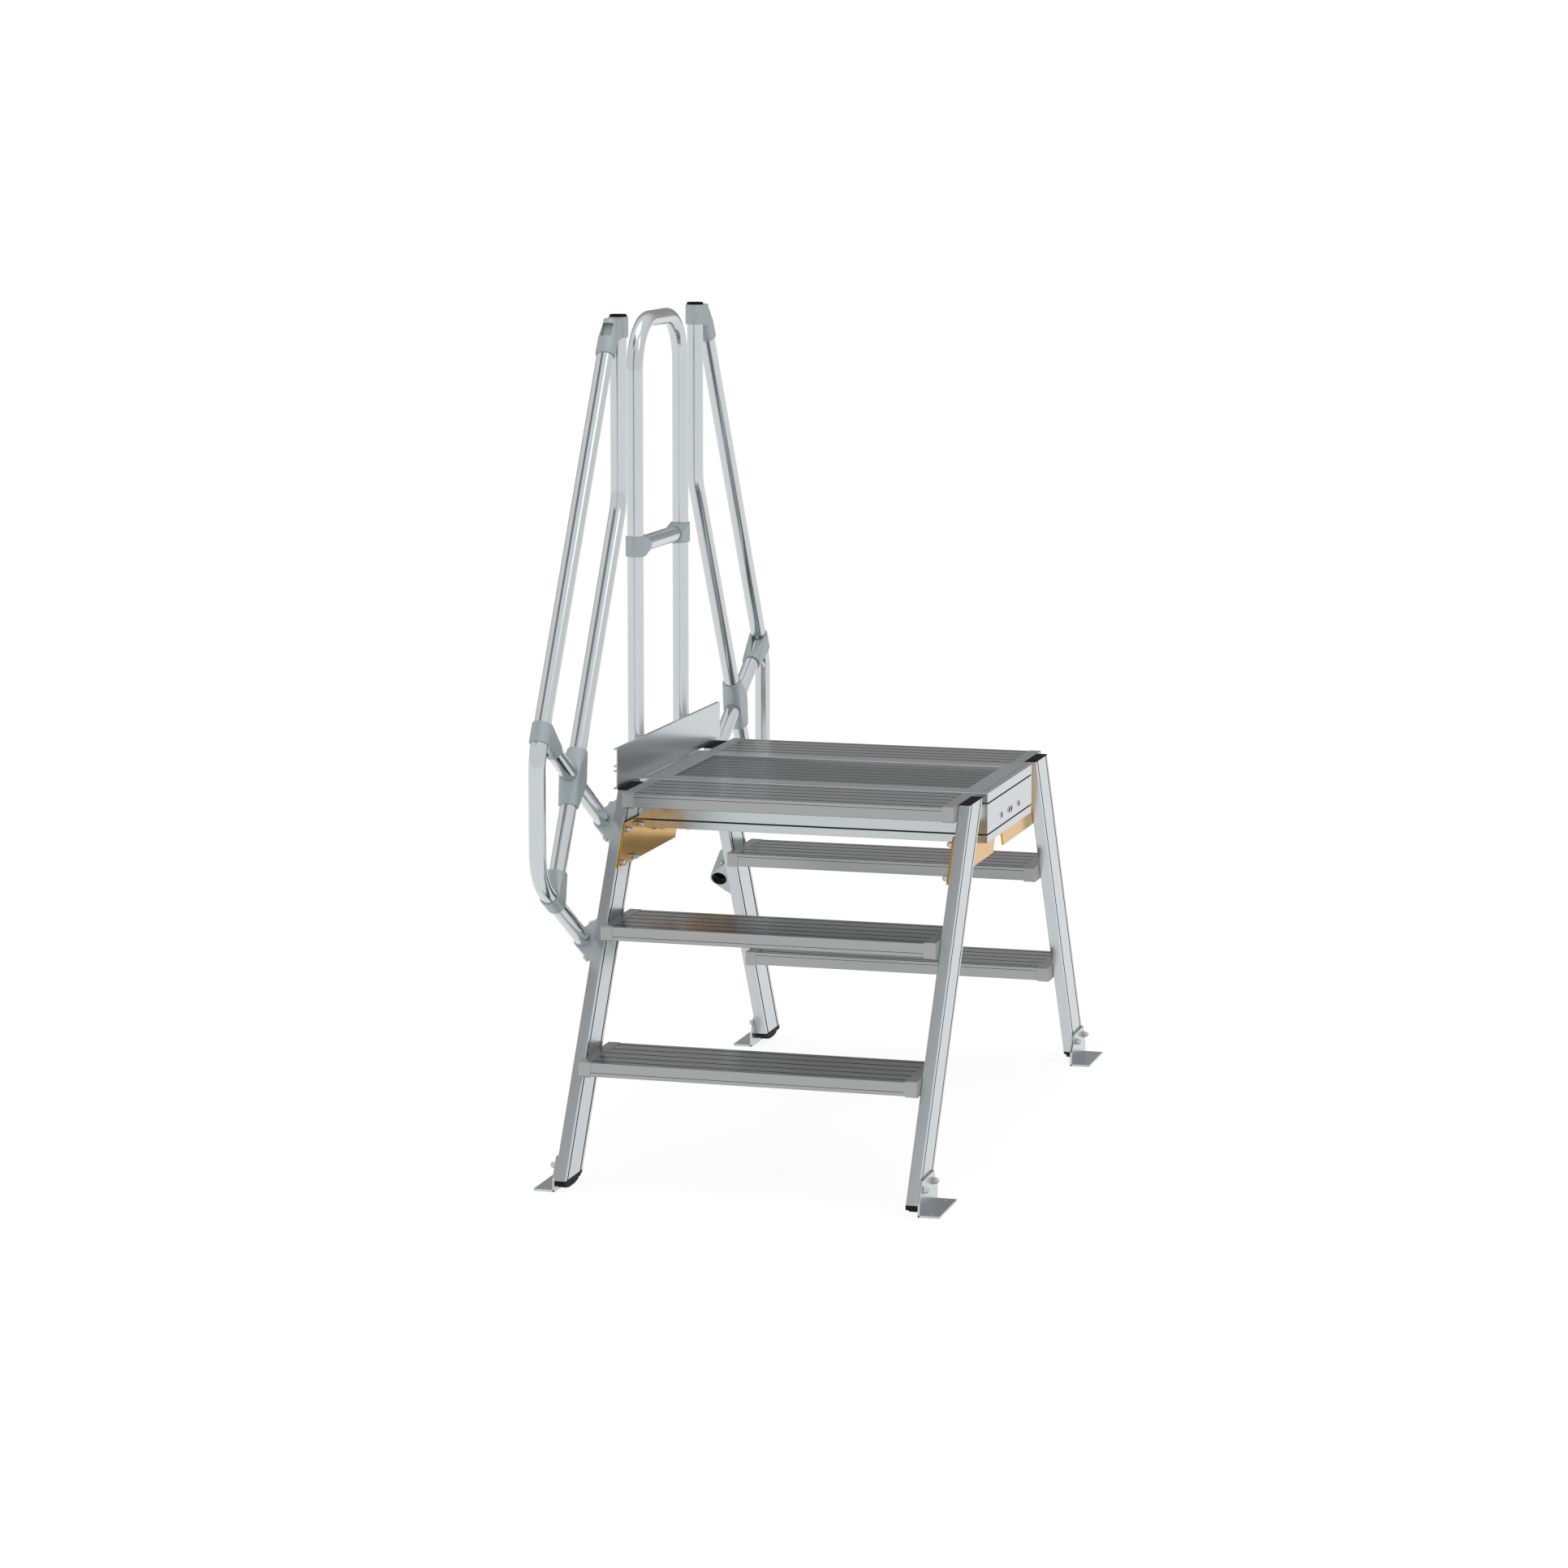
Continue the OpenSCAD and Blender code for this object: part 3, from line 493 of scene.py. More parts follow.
def disc(centre, way, r, sides=32):
    """Points of a circle for a cast shape."""
    turn = Vector(way).to_track_quat("Z", "X")
    return [
        Vector(centre) + turn @ Vector((r * math.cos(a), r * math.sin(a), 0))
        for a in (2 * math.pi * k / sides for k in range(sides))
    ]


def casting(points, mouths, wall=0.0032, depth=0.006, edge=0.0016):
    """A convex casting over the points, with a rounded skin and a sunk mouth at each tube."""
    bm = bmesh.new()
    for p in points:
        bm.verts.new(p)
    bmesh.ops.convex_hull(bm, input=bm.verts[:])
    spare = [v for v in bm.verts if not v.link_faces]
    bmesh.ops.delete(bm, geom=spare, context="VERTS")
    bmesh.ops.dissolve_limit(bm, angle_limit=math.radians(1.0), verts=bm.verts[:], edges=bm.edges[:])
    rims = []
    for centre, way in mouths:
        way = Vector(way).normalized()
        face = min(
            (f for f in bm.faces if f.normal.dot(way) > 0.98),
            key=lambda f: (f.calc_center_median() - Vector(centre)).length,
        )
        bmesh.ops.inset_region(bm, faces=[face], thickness=wall, use_even_offset=True)
        made = bmesh.ops.extrude_discrete_faces(bm, faces=[face])["faces"]
        bmesh.ops.translate(bm, verts=made[0].verts[:], vec=-way * depth)
        rims.append((Vector(centre), way))

    def outer(e):
        middle = (e.verts[0].co + e.verts[1].co) / 2
        for centre, way in rims:
            if abs((middle - centre).dot(way)) < depth + 1e-4:
                gap = (middle - centre) - way * (middle - centre).dot(way)
                if gap.length < CLAMP_R - wall * 0.5:
                    return False
        return True

    return soften(bm, edge, 2, 20, outer)


def both(name, bm, material, node):
    """The front piece and its mirror image at the back."""
    put(name + "_back", flipped(bm, 1, -1), material, [node + "_back"])
    put(name + "_front", bm, material, [node + "_front"])


# ---------- Stringers, lids and feet ----------


def stringer():
    """Front right stringer, slotted on both wide faces and sawn level at both ends."""
    w = STRINGER_T
    d = STRINGER_D
    a = SLOT_MID - 0.003
    b = SLOT_MID + 0.003
    k = 0.006
    points = [(0, 0), (w, 0), (w, a), (w - k, a), (w - k, b), (w, b)]
    points += [(w, d - b), (w - k, d - b), (w - k, d - a), (w, d - a), (w, d), (0, d)]
    points += [(0, d - a), (k, d - a), (k, d - b), (0, d - b), (0, b), (k, b), (k, a), (0, a)]
    bm = bar(points, 1.2, [((0, 1, 10, 11), 0.0012, 3), ((2, 5, 6, 9, 12, 15, 16, 19), 0.0003, 1)])
    # Slot walls and floors get the near-black finish: painted shade in the slots.
    mark(bm, lambda p: 0.0005 < p.x < w - 0.0005 and abs(min(p.y, d - p.y) - SLOT_MID) < 0.0032)
    bmesh.ops.translate(bm, verts=bm.verts, vec=(0, 0, -1.0))
    set_in(bm, (IN_X, -EDGE_Y, TOP), (1, 0, 0), (0, SIN, -COS), (0, COS, SIN))
    saw(bm, (0, 0, TOP - LID_T), (0, 0, 1))
    saw(bm, (0, 0, FOOT_H), (0, 0, -1))
    return bm


def lid():
    """Thin lid on the stringer top, with two screw holes."""
    y0 = -edge_at(TOP - LID_T)
    y1 = y0 + STRINGER_FLAT
    bm = bar([(IN_X, y0), (OUT_X, y0), (OUT_X, y1), (IN_X, y1)], LID_T)
    bmesh.ops.translate(bm, verts=bm.verts, vec=(0, 0, TOP - LID_T))
    soften(bm, 0.0006, 2)
    holes = []
    for f in (0.3, 0.72):
        spot = (IN_X + STRINGER_T * 0.4, y0 + f * STRINGER_FLAT, TOP - 0.0012)
        holes.append(rod(spot, (spot[0], spot[1], TOP + 0.001), 0.0021, 20))
    return carve(bm, *holes)


def foot():
    """Rubber foot: a collar under the stringer and a narrower sole."""
    y0 = -edge_at(FOOT_H)
    y1 = y0 + STRINGER_FLAT
    collar = bar(
        [
            (y0, FOOT_H),
            (y0, 0.0135),
            (y1 - 0.016, 0.0130),
            (y1 - 0.0145, 0.0145),
            (y1 - 0.004, 0.0180),
            (y1, 0.0225),
            (y1, FOOT_H),
        ],
        STRINGER_T,
    )
    set_in(collar, (IN_X, 0, 0), (0, 1, 0), (0, 0, 1), (1, 0, 0))
    soften(collar, 0.0012, 2)
    sole = bar(
        [
            (y0 + 0.010, 0.017),
            (y0 + 0.014, 0.0075),
            (y0 + 0.034, 0.004),
            (y0 + 0.066, 0.004),
            (y0 + 0.088, 0.0075),
            (y0 + 0.099, 0.0175),
        ],
        STRINGER_T - 0.005,
    )
    set_in(sole, (IN_X + 0.0025, 0, 0), (0, 1, 0), (0, 0, 1), (1, 0, 0))
    soften(sole, 0.0015, 2)
    return join(collar, sole)


SIDES = (("fl", -1, 1), ("fr", 1, 1), ("bl", -1, -1), ("br", 1, -1))
lids = []
for tag, x, y in SIDES:
    put("stringer_" + tag + "_new", flipped(stringer(), x, y), stringer_front if y > 0 else stringer_back,
        ["stringer_" + tag])
    put("foot_" + tag + "_new", flipped(foot(), x, y), rubber, ["foot_" + tag])
    lids.append(flipped(lid(), x, y))
put("top_lids", join(*lids), lid_plastic, ["top_plugs"])

# ---------- Treads ----------


def grooved(depth, height, grooves, width, deep, walls):
    """Profile of a grooved deck section, open below between its webs; the top is at 0."""
    points = []
    step = depth / grooves
    for k in range(grooves):
        a = (k + 0.5) * step - width / 2
        points += [(a, 0), (a, -deep), (a + width, -deep), (a + width, 0)]
    under = []
    for a, b, top in reversed(walls):
        under += [(b, -height), (b, top), (a, top), (a, -height)]
    return points, under


def tread(level):
    """Front tread at this level, counted from the floor."""
    d = TREAD_D
    h = 0.0275
    proud = 0.001
    wall = 0.003
    pitch = (d - wall - 2 * proud) / 3
    walls = [(wall + proud + k * pitch, proud + (k + 1) * pitch, -0.004) for k in range(3)]
    tops, under = grooved(d, h, 5, 0.005, 0.0016, walls)
    low, high = -h * 0.74, -h * 0.27
    fz, bz = (low, high) if level < 3 else (high, low)
    lip = [(proud, -h), (proud, fz), (proud + 0.0008, fz), (proud + 0.0008, fz + 0.001), (proud, fz + 0.001)]
    rear = d - proud
    back = [(rear, bz + 0.001), (rear - 0.0008, bz + 0.001), (rear - 0.0008, bz), (rear, bz)]
    points = lip + [(proud, 0)] + tops + [(rear, 0)] + back + [(rear, -h)] + under
    bm = bar(points, 2 * TREAD_IN, [((0, 5, 6 + len(tops), 11 + len(tops)), 0.0012, 3)])
    # Groove faces on top and the notch lines in the front and back lips get the near-black finish: painted
    # shade.
    mark(bm, lambda p: -0.0025 < p.y < -0.0008 and 0.005 < p.x < d - 0.005)
    mark(bm, lambda p: 0.0012 < p.x < 0.0019 or 0.0012 < d - p.x < 0.0019)
    y = -HALF_PLATFORM - (3 - level) * RUN
    return set_in(bm, (-TREAD_IN, y, level * RISE - proud), (0, 1, 0), (0, 0, 1), (1, 0, 0))


def tread_cap(level):
    """Hollow cap on the right end of a front tread."""
    d = TREAD_D
    h = 0.032
    points = [(0, -0.0015), (0.0015, 0), (d - 0.0015, 0), (d, -0.0015), (d, -h + 0.004), (d - 0.006, -h)]
    points += [(0.006, -h), (0, -h + 0.004)]
    bm = bar(points, IN_X - TREAD_IN)
    soften(bm, 0.0007, 2)
    y = -HALF_PLATFORM - (3 - level) * RUN
    set_in(bm, (TREAD_IN, y, level * RISE), (0, 1, 0), (0, 0, 1), (1, 0, 0))
    pit = bar([(0.005, -h - 0.001), (d - 0.005, -h - 0.001), (d - 0.005, -0.004), (0.005, -0.004)], 0.020)
    set_in(pit, (IN_X - 0.028, y, level * RISE), (0, 1, 0), (0, 0, 1), (1, 0, 0))
    bmesh.ops.recalc_face_normals(bm, faces=bm.faces)
    return carve(bm, pit)


for level in (1, 2, 3):
    cap = tread_cap(level)
    caps = join(cap.copy(), flipped(cap, -1, 1))
    cap.free()
    for tag, y in (("f", 1), ("b", -1)):
        put("tread_%s%d_new" % (tag, level), flipped(tread(level), 1, y), tread_alu,
            ["tread_%s%d" % (tag, level)])
        put("tread_caps_%s%d_new" % (tag, level), flipped(caps, 1, y), cap_alu,
            ["tread_caps_%s%d" % (tag, level)])
    caps.free()

# ---------- Platform frame ----------


def beam(half):
    """Frame beam with two slots in its outer face and mitred ends."""
    w = BEAM_W
    h = BEAM_H
    k = 0.006
    hi = -0.021
    lo = -h + 0.017
    m = 0.0015
    t = 0.013
    points = [(0, -h)]
    for mid in (lo, hi):
        points += [(0, mid - m), (k, mid - m), (k, mid + m), (0, mid + m)]
    points += [(0, 0), (t - 0.0004, 0), (t - 0.0004, -0.0008), (t + 0.0004, -0.0008), (t + 0.0004, 0)]
    points += [(w, 0), (w, -0.033), (w + 0.012, -0.033), (w + 0.012, -0.036), (w, -0.036), (w, -h)]
    bm = bar(points, 2 * half, [((0, 9, 14, 19), 0.0009, 3), ((1, 4, 5, 8), 0.0003, 1)])
    # Slot faces and the faces of the small groove on top get the near-black finish: painted shade.
    mark(bm, lambda p: 0.0006 < p.x < 0.0062 and min(abs(p.y - hi), abs(p.y - lo)) < 0.0017)
    mark(bm, lambda p: abs(p.x - t) < 0.0006 and p.y > -0.001)
    bmesh.ops.translate(bm, verts=bm.verts, vec=(0, 0, -half))
    saw(bm, (0, 0, half), (1, 0, 1))
    saw(bm, (0, 0, -half), (1, 0, -1))
    return bm


side = set_in(beam(FRAME_Y), (OUT_X, 0, TOP), (-1, 0, 0), (0, 0, 1), (0, 1, 0))
put("beam_left_new", flipped(side, -1, 1), beam_alu_y, ["beam_left"])
put("beam_right_new", side, beam_alu_y, ["beam_right"])
cross = set_in(beam(OUT_X), (0, -FRAME_Y, TOP), (0, 1, 0), (0, 0, 1), (1, 0, 0))
put("beam_back_new", flipped(cross, 1, -1), beam_alu_x, ["beam_back"])
put("beam_front_new", cross, beam_alu_x, ["beam_front"])


def deck():
    """Grooved panel that lies in the frame."""
    w = 2 * (OUT_X - BEAM_W - 0.0008)
    d = 2 * (FRAME_Y - BEAM_W - 0.0008)
    h = 0.028
    pitch = (d - 0.003) / 4
    walls = [(0.003 + k * pitch, (k + 1) * pitch, -0.004) for k in range(4)]
    tops, under = grooved(d, h, 8, 0.003, 0.0016, walls)
    points = [(0, -h), (0, 0)] + tops + [(d, 0), (d, -h)] + under
    bm = bar(points, w)
    # Groove faces get the near-black finish: painted shade in the grooves.
    mark(bm, lambda p: -0.0025 < p.y < -0.0008)
    return set_in(bm, (-w / 2, -d / 2, TOP - 0.005), (0, 1, 0), (0, 0, 1), (1, 0, 0))


put("deck_panel_new", deck(), deck_alu, ["deck_panel"])

heads = []
for y in (-0.077, -0.010, 0.010, 0.077):
    z = TOP - 0.062
    head = rod((OUT_X, y, z), (OUT_X + 0.0016, y, z), 0.007, 32, 0.0060)
    socket = rod((OUT_X + 0.0004, y, z), (OUT_X + 0.003, y, z), 0.0036, 6)
    # The hex socket in each head gets the near-black finish: painted shade in the recess.
    heads.append(mark(carve(head, socket), lambda p: (p - Vector((OUT_X, y, z))).yz.length < 0.0035))
put("beam_rivets_new", join(*heads), steel, ["beam_rivets"])

# ---------- Corner plates ----------


def corner_plate():
    """Plate between the front right stringer and the frame, with a flange under the side beam."""
    t = PLATE_T
    top = BEAM_LOW + 0.040
    low = BEAM_LOW - 0.044
    points = [
        (-edge_at(top), top),
        (-FRAME_Y - 0.0003, top),
        (-FRAME_Y - 0.0003, BEAM_LOW),
        (-0.021, BEAM_LOW),
        (-0.021 - 0.044 / math.tan(SLOPE), low),
        (-edge_at(low), low),
    ]
    bm = bar(points, t)
    soften(bm, 0.0006, 2)
    set_in(bm, (IN_X - t, 0, 0), (0, 1, 0), (0, 0, 1), (1, 0, 0))
    y0 = -FRAME_Y + 0.020
    y1 = y0 + FRAME_Y - 0.049
    flange = bar([(y0, BEAM_LOW - t), (y1, BEAM_LOW - t), (y1, BEAM_LOW), (y0, BEAM_LOW)], 0.022)
    soften(flange, 0.0006, 2)
    set_in(flange, (IN_X - 0.024, 0, 0), (0, 1, 0), (0, 0, 1), (1, 0, 0))
    return join(bm, flange)


for tag, x, y in SIDES:
    put("corner_plate_" + tag + "_new", flipped(corner_plate(), x, y), plate_coat,
        ["corner_plate_" + tag])

# ---------- Floor brackets ----------


def floor_bracket():
    """Upright on the front right stringer and a foot plate with two holes."""
    t = PLATE_T
    h = BRACKET_H
    front = EDGE_Y + TOP / math.tan(SLOPE) - 0.016
    back = EDGE_Y + TOP / math.tan(SLOPE) - STRINGER_FLAT - 0.0516
    apex = edge_at(h) - STRINGER_FLAT + SLOT_FLAT
    corner = (edge_at(0) - front) * math.tan(SLOPE)
    points = [(-front, 0), (-front, corner), (-edge_at(h), h), (-apex, h), (-back - 0.015, h * 0.68)]
    points += [(-back, h * 0.46), (-back, 0)]
    upright = bar(points, t)
    soften(upright, 0.0005, 2)
    set_in(upright, (OUT_X, 0, 0), (0, 1, 0), (0, 0, 1), (1, 0, 0))
    x0 = OUT_X + 0.0005
    x1 = OUT_X + 0.0425
    plate = bar([(x0, -front), (x1, -front), (x1, -back), (x0, -back)], t)
    soften(plate, 0.0005, 2)
    holes = []
    for k in (-1, 1):
        spot = Vector((OUT_X + 0.0235, -(front + back) / 2 + k * 0.0575, -0.001))
        holes.append(rod(spot, spot + Vector((0, 0, 0.010)), 0.005, 32))
    return join(upright, carve(plate, *holes))


for tag, x, y in SIDES:
    put("floor_bracket_" + tag + "_new", flipped(floor_bracket(), x, y), bracket_alu,
        ["floor_bracket_" + tag])

# ---------- Fasteners ----------


def lathe(profile, origin, way, sides=28):
    """A round piece: profile as (radius, height) from its face outward along way."""
    bm = bmesh.new()
    chain = [bm.verts.new((r, 0, z)) for r, z in profile]
    edges = [bm.edges.new((a, b)) for a, b in zip(chain, chain[1:])]
    bmesh.ops.spin(
        bm, geom=chain + edges, cent=(0, 0, 0), axis=(0, 0, 1), angle=2 * math.pi, steps=sides,
        use_merge=True, use_duplicate=False
    )
    bmesh.ops.remove_doubles(bm, verts=bm.verts, dist=1e-6)
    turn = Vector(way).to_track_quat("Z", "Y").to_matrix().to_4x4()
    bmesh.ops.transform(bm, matrix=Matrix.Translation(origin) @ turn, verts=bm.verts)
    return bm


def dome_nut(origin, way, grip):
    """Washer, hexagon and dome of a cap nut over a plate of the given thickness."""
    origin = Vector(origin)
    way = Vector(way)
    face = origin + way * grip
    ring = [(0, 0), (0.0076, 0), (0.0078, 0.0002), (0.0078, 0.001), (0.0076, 0.0012), (0, 0.0012)]
    washer = lathe(ring, face, way)
    hexagon = rod(face + way * 0.0012, face + way * 0.0075, NUT_R, 6)
    soften(hexagon, 0.0007, 2)
    r = 0.0052
    dome = [(0, 0.0070), (r, 0.0070), (r, 0.0078)]
    turns = [math.radians(15 * k) for k in range(1, 6)]
    dome += [(r * math.cos(a), 0.0078 + 0.0044 * math.sin(a)) for a in turns]
    dome += [(0, 0.0122)]
    return join(washer, hexagon, lathe(dome, face, way))


nuts = []
for tag, x, y in SIDES:
    z = BRACKET_H - 0.018
    for place in (SLOT_FLAT, STRINGER_FLAT - SLOT_FLAT):
        nut = dome_nut((OUT_X, -edge_at(z) + place, z), (1, 0, 0), PLATE_T)
        nuts.append(flipped(nut, x, y))
        nut.free()
put("floor_nuts", join(*nuts), steel, ["floor_bolts"])

nuts = []
for tag, x, y in SIDES:
    for z in (BEAM_LOW + 0.025, BEAM_LOW - 0.035):
        for place in (SLOT_FLAT, STRINGER_FLAT - SLOT_FLAT):
            nut = dome_nut((IN_X, -edge_at(z) + place, z), (-1, 0, 0), PLATE_T)
            nuts.append(flipped(nut, x, y))
            nut.free()
    for k in (0, 1):
        base = Vector((IN_X - 0.01488, -FRAME_Y + 0.038 + k * (FRAME_Y - 0.085), BEAM_LOW - PLATE_T))
        head = rod(base, base - Vector((0, 0, 0.004)), NUT_R, 6)
        soften(head, 0.0005, 2)
        nuts.append(flipped(head, x, y))
        head.free()
put("plate_nuts", join(*nuts), steel, ["plate_bolts"])

# ---------- Rails ----------

HAND_OFF = 0.432
POST_OFF = 0.210
POST_Y = 0.262
HAND_Y = 0.776
BRACE_UP = 0.064
BRACE_LOW = 0.315
BRACE_IN = -0.068
RAIL_TOP = 0.927
POST_TOP = TOP + RAIL_TOP - 0.002
hand_top = (RAIL_TOP - 0.036 - HAND_OFF * COS) / SIN

hand = swept_tube(
    [
        rail_point(hand_top - 0.011, HAND_OFF),
        rail_point(s_at(HAND_Y, HAND_OFF), HAND_OFF),
        rail_point(-BRACE_LOW, n_at(HAND_Y, -BRACE_LOW)),
        rail_point(-BRACE_LOW, BRACE_IN),
    ]
)
both("handrail_tube", hand, tube_alu, "handrail")
post = swept_tube(
    [
        rail_point(-BRACE_LOW + TUBE_GAP, POST_OFF),
        rail_point(s_at(POST_Y, POST_OFF), POST_OFF),
        (-RAIL_X, -POST_Y, POST_TOP),
    ]
)
both("post_tube", post, tube_alu, "post")
brace = join(
    swept_tube([rail_point(-BRACE_UP, HAND_OFF - TUBE_GAP), rail_point(-BRACE_UP, POST_OFF + TUBE_GAP)]),
    swept_tube([rail_point(-BRACE_UP, POST_OFF - TUBE_GAP), rail_point(-BRACE_UP, BRACE_IN)]),
)
both("brace_tubes", brace, tube_alu, "braces")

HOOP_Y = 0.155
HOOP_Z = TOP + 0.911
MID_Z = TOP + 0.462
hoop = swept_tube(
    [
        (-RAIL_X, -HOOP_Y, BEAM_LOW + 0.012),
        (-RAIL_X, -HOOP_Y, HOOP_Z),
        (-RAIL_X, HOOP_Y, HOOP_Z),
        (-RAIL_X, HOOP_Y, BEAM_LOW + 0.012),
    ],
    steps=20,
)
put("hoop_tube", hoop, tube_alu, ["hoop"])
reach = HOOP_Y - TUBE_GAP
mid_tube = swept_tube([(-RAIL_X, -reach, MID_Z), (-RAIL_X, reach, MID_Z)])
put("hoop_mid_tube", mid_tube, tube_alu, ["hoop_rail"])

# ---------- Clamps ----------

UP = (rail_point(1, 0) - rail_point(0, 0)).normalized()
OUT = (rail_point(0, 1) - rail_point(0, 0)).normalized()


def sleeve(centre, way, half):
    """Points of a sleeve round a tube."""
    way = Vector(way)
    centre = Vector(centre)
    return disc(centre - way * half, way, CLAMP_R) + disc(centre + way * half, way, CLAMP_R)


knee = rail_point(-BRACE_UP, HAND_OFF)
end = rail_point(-BRACE_UP, HAND_OFF - 0.080)
both(
    "knee_casting",
    casting(
        sleeve(knee, UP, SLEEVE_HALF) + disc(end, OUT, CLAMP_R),
        [(knee + UP * SLEEVE_HALF, UP), (knee - UP * SLEEVE_HALF, -UP), (end, -OUT)],
    ),
    clamp_alu,
    "knee_clamp",
)
mid = rail_point(-BRACE_UP, POST_OFF)
up_half = UP * 0.059
out_half = OUT * 0.0286
both(
    "cross_casting",
    casting(
        sleeve(mid, UP, 0.059) + sleeve(mid, OUT, 0.0286),
        [(mid + up_half, UP), (mid - up_half, -UP), (mid + out_half, OUT), (mid - out_half, -OUT)],
    ),
    clamp_alu,
    "cross_clamp",
)
foot_end = rail_point(-BRACE_LOW, POST_OFF)
both(
    "low_casting",
    casting(
        sleeve(foot_end, OUT, 0.0235) + disc(foot_end + UP * 0.057, UP, CLAMP_R),
        [(foot_end + OUT * 0.0235, OUT), (foot_end - OUT * 0.0235, -OUT), (foot_end + UP * 0.057, UP)],
    ),
    clamp_alu,
    "low_clamp",
)


def top_casting():
    """Sleeve on the post, arm on the handrail and a block between, with a pocket in the outer face."""
    high = POST_TOP
    low = high - 2 * SLEEVE_HALF
    upright = casting(
        sleeve((-RAIL_X, -POST_Y, (high + low) / 2), (0, 0, 1), SLEEVE_HALF),
        [((-RAIL_X, -POST_Y, high), (0, 0, 1)), ((-RAIL_X, -POST_Y, low), (0, 0, -1))],
    )
    mouth = rail_point(hand_top - 0.044, HAND_OFF)
    neck = rail_point(hand_top - 0.008, HAND_OFF)
    crown = rail_point(hand_top + 0.026, HAND_OFF)
    crown.z = high - 0.0008
    skin = disc(mouth, UP, CLAMP_R) + disc(neck, UP, CLAMP_R * 0.97) + disc(crown, (0, 0, 1), CLAMP_R * 0.60)
    arm = casting(skin, [(mouth, -UP)])
    heel = rail_point(hand_top - 0.024, HAND_OFF)
    web = bar(
        [
            (-POST_Y, high - 0.0015),
            (crown.y, high - 0.0015),
            (neck.y, neck.z),
            (heel.y, heel.z),
            (-POST_Y, low + 0.004),
        ],
        0.029,
    )
    soften(web, 0.0015, 2)
    set_in(web, (-RAIL_X - 0.0145, 0, 0), (0, 1, 0), (0, 0, 1), (1, 0, 0))
    wide = 0.0105
    sill = hand_top - 0.009
    roof = hand_top + 0.020
    pocket = bar([(-wide, sill), (wide, sill), (wide, roof), (-wide, roof)], 0.05)
    set_in(pocket, rail_point(0, HAND_OFF + 0.006), (1, 0, 0), UP, Vector((1, 0, 0)).cross(UP))
    arm = carve(arm, pocket)
    # The pocket's sill gets the near-black finish: painted shade along the bottom of the pocket.
    mark(arm, lambda p: abs((p - rail_point(sill, HAND_OFF)).dot(UP)) < 0.0002)
    return join(upright, arm, web)


both("top_casting", top_casting(), clamp_alu, "top_clamp")

tees = []
for k in (-1, 1):
    at = Vector((-RAIL_X, k * HOOP_Y, MID_Z))
    tip = Vector((-RAIL_X, k * (HOOP_Y - 0.050), MID_Z))
    inward = Vector((0, -k, 0))
    rise = Vector((0, 0, SLEEVE_HALF))
    skin = sleeve(at, (0, 0, 1), SLEEVE_HALF) + disc(tip, inward, CLAMP_R)
    tees.append(casting(skin, [(at + rise, (0, 0, 1)), (at - rise, (0, 0, -1)), (tip, inward)]))
put("hoop_tee_castings", join(*tees), clamp_alu, ["hoop_tees"])

# ---------- Tube sockets ----------

SOCKET_L = 0.080
WEB = 0.042
RAIL_OUT = RAIL_X - OUT_X
WEB_X = RAIL_OUT - 0.004
FLANK = math.acos(CLAMP_R / math.hypot(WEB_X, WEB)) + math.atan2(WEB, WEB_X)
FLANK_L = math.sqrt(WEB_X**2 + WEB**2 - CLAMP_R**2)


def socket_shape():
    """Socket with its axis along Z and its foot at +X, and four screws in its flanks."""
    arc = []
    steps = 20
    for k in range(steps + 1):
        a = FLANK + (2 * math.pi - 2 * FLANK) * k / steps
        arc.append((CLAMP_R * math.cos(a), CLAMP_R * math.sin(a)))
    base = [(WEB_X, -WEB), (RAIL_OUT, -WEB - 0.003), (RAIL_OUT, WEB + 0.003), (WEB_X, WEB)]
    bm = bar(arc + base, SOCKET_L)
    soften(bm, 0.0012, 2, 30)
    bore = rod((0, 0, -0.01), (0, 0, SOCKET_L + 0.01), BORE_R, 40)
    body = carve(bm, bore)
    # The bore gets the near-black finish: painted shade inside the socket.
    mark(body, lambda p: p.xy.length < BORE_R + 0.0001 and 0.0005 < p.z < SOCKET_L - 0.0005)
    screws = []
    for k in (-1, 1):
        for z in (0.011, SOCKET_L - 0.011):
            a = k * FLANK
            normal = Vector((math.cos(a), math.sin(a), 0))
            along = Vector((math.sin(a), -math.cos(a), 0)) * k
            base = normal * CLAMP_R + along * (FLANK_L - 0.011) + Vector((0, 0, z))
            washer = lathe([(0, 0), (0.007, 0), (0.007, 0.001), (0, 0.001)], base, normal)
            head = rod(base + normal * 0.001, base + normal * 0.006, 0.0062, 6)
            soften(head, 0.0006, 2)
            screws += [washer, head]
    return body, join(*screws)


bodies = []
screws = []
for s in (BRACE_UP, BRACE_LOW):
    a, b = socket_shape()
    origin = rail_point(-s, -SOCKET_L - 0.004)
    for bm in (a, b):
        set_in(bm, origin, (1, 0, 0), UP, OUT)
    bodies.append(a)
    screws.append(b)
both("socket_castings", join(*bodies), socket_alu, "sockets")
screws = join(*screws)
screws = [flipped(screws, 1, -1), screws]
bodies = []
for k in (-1, 1):
    a, b = socket_shape()
    for bm in (a, b):
        bmesh.ops.translate(bm, verts=bm.verts, vec=(-RAIL_X, k * HOOP_Y, BEAM_LOW + 0.008))
    bodies.append(a)
    screws.append(b)
put("hoop_socket_castings", join(*bodies), socket_alu, ["hoop_sockets"])
put("socket_screws", join(*screws), steel, ["socket_bolts"])

stem = [(0, -0.010), (0.0142, -0.010), (0.0142, 0)]
cap = [(0.0173, 0), (0.0173, 0.0032), (0.0166, 0.0044), (0.0150, 0.005), (0, 0.005)]
plugs = [lathe(stem + cap, (-RAIL_X, k * POST_Y, POST_TOP), (0, 0, 1), 40) for k in (-1, 1)]
put("post_caps", join(*plugs), lid_plastic, ["post_plugs"])

# ---------- Toe board ----------


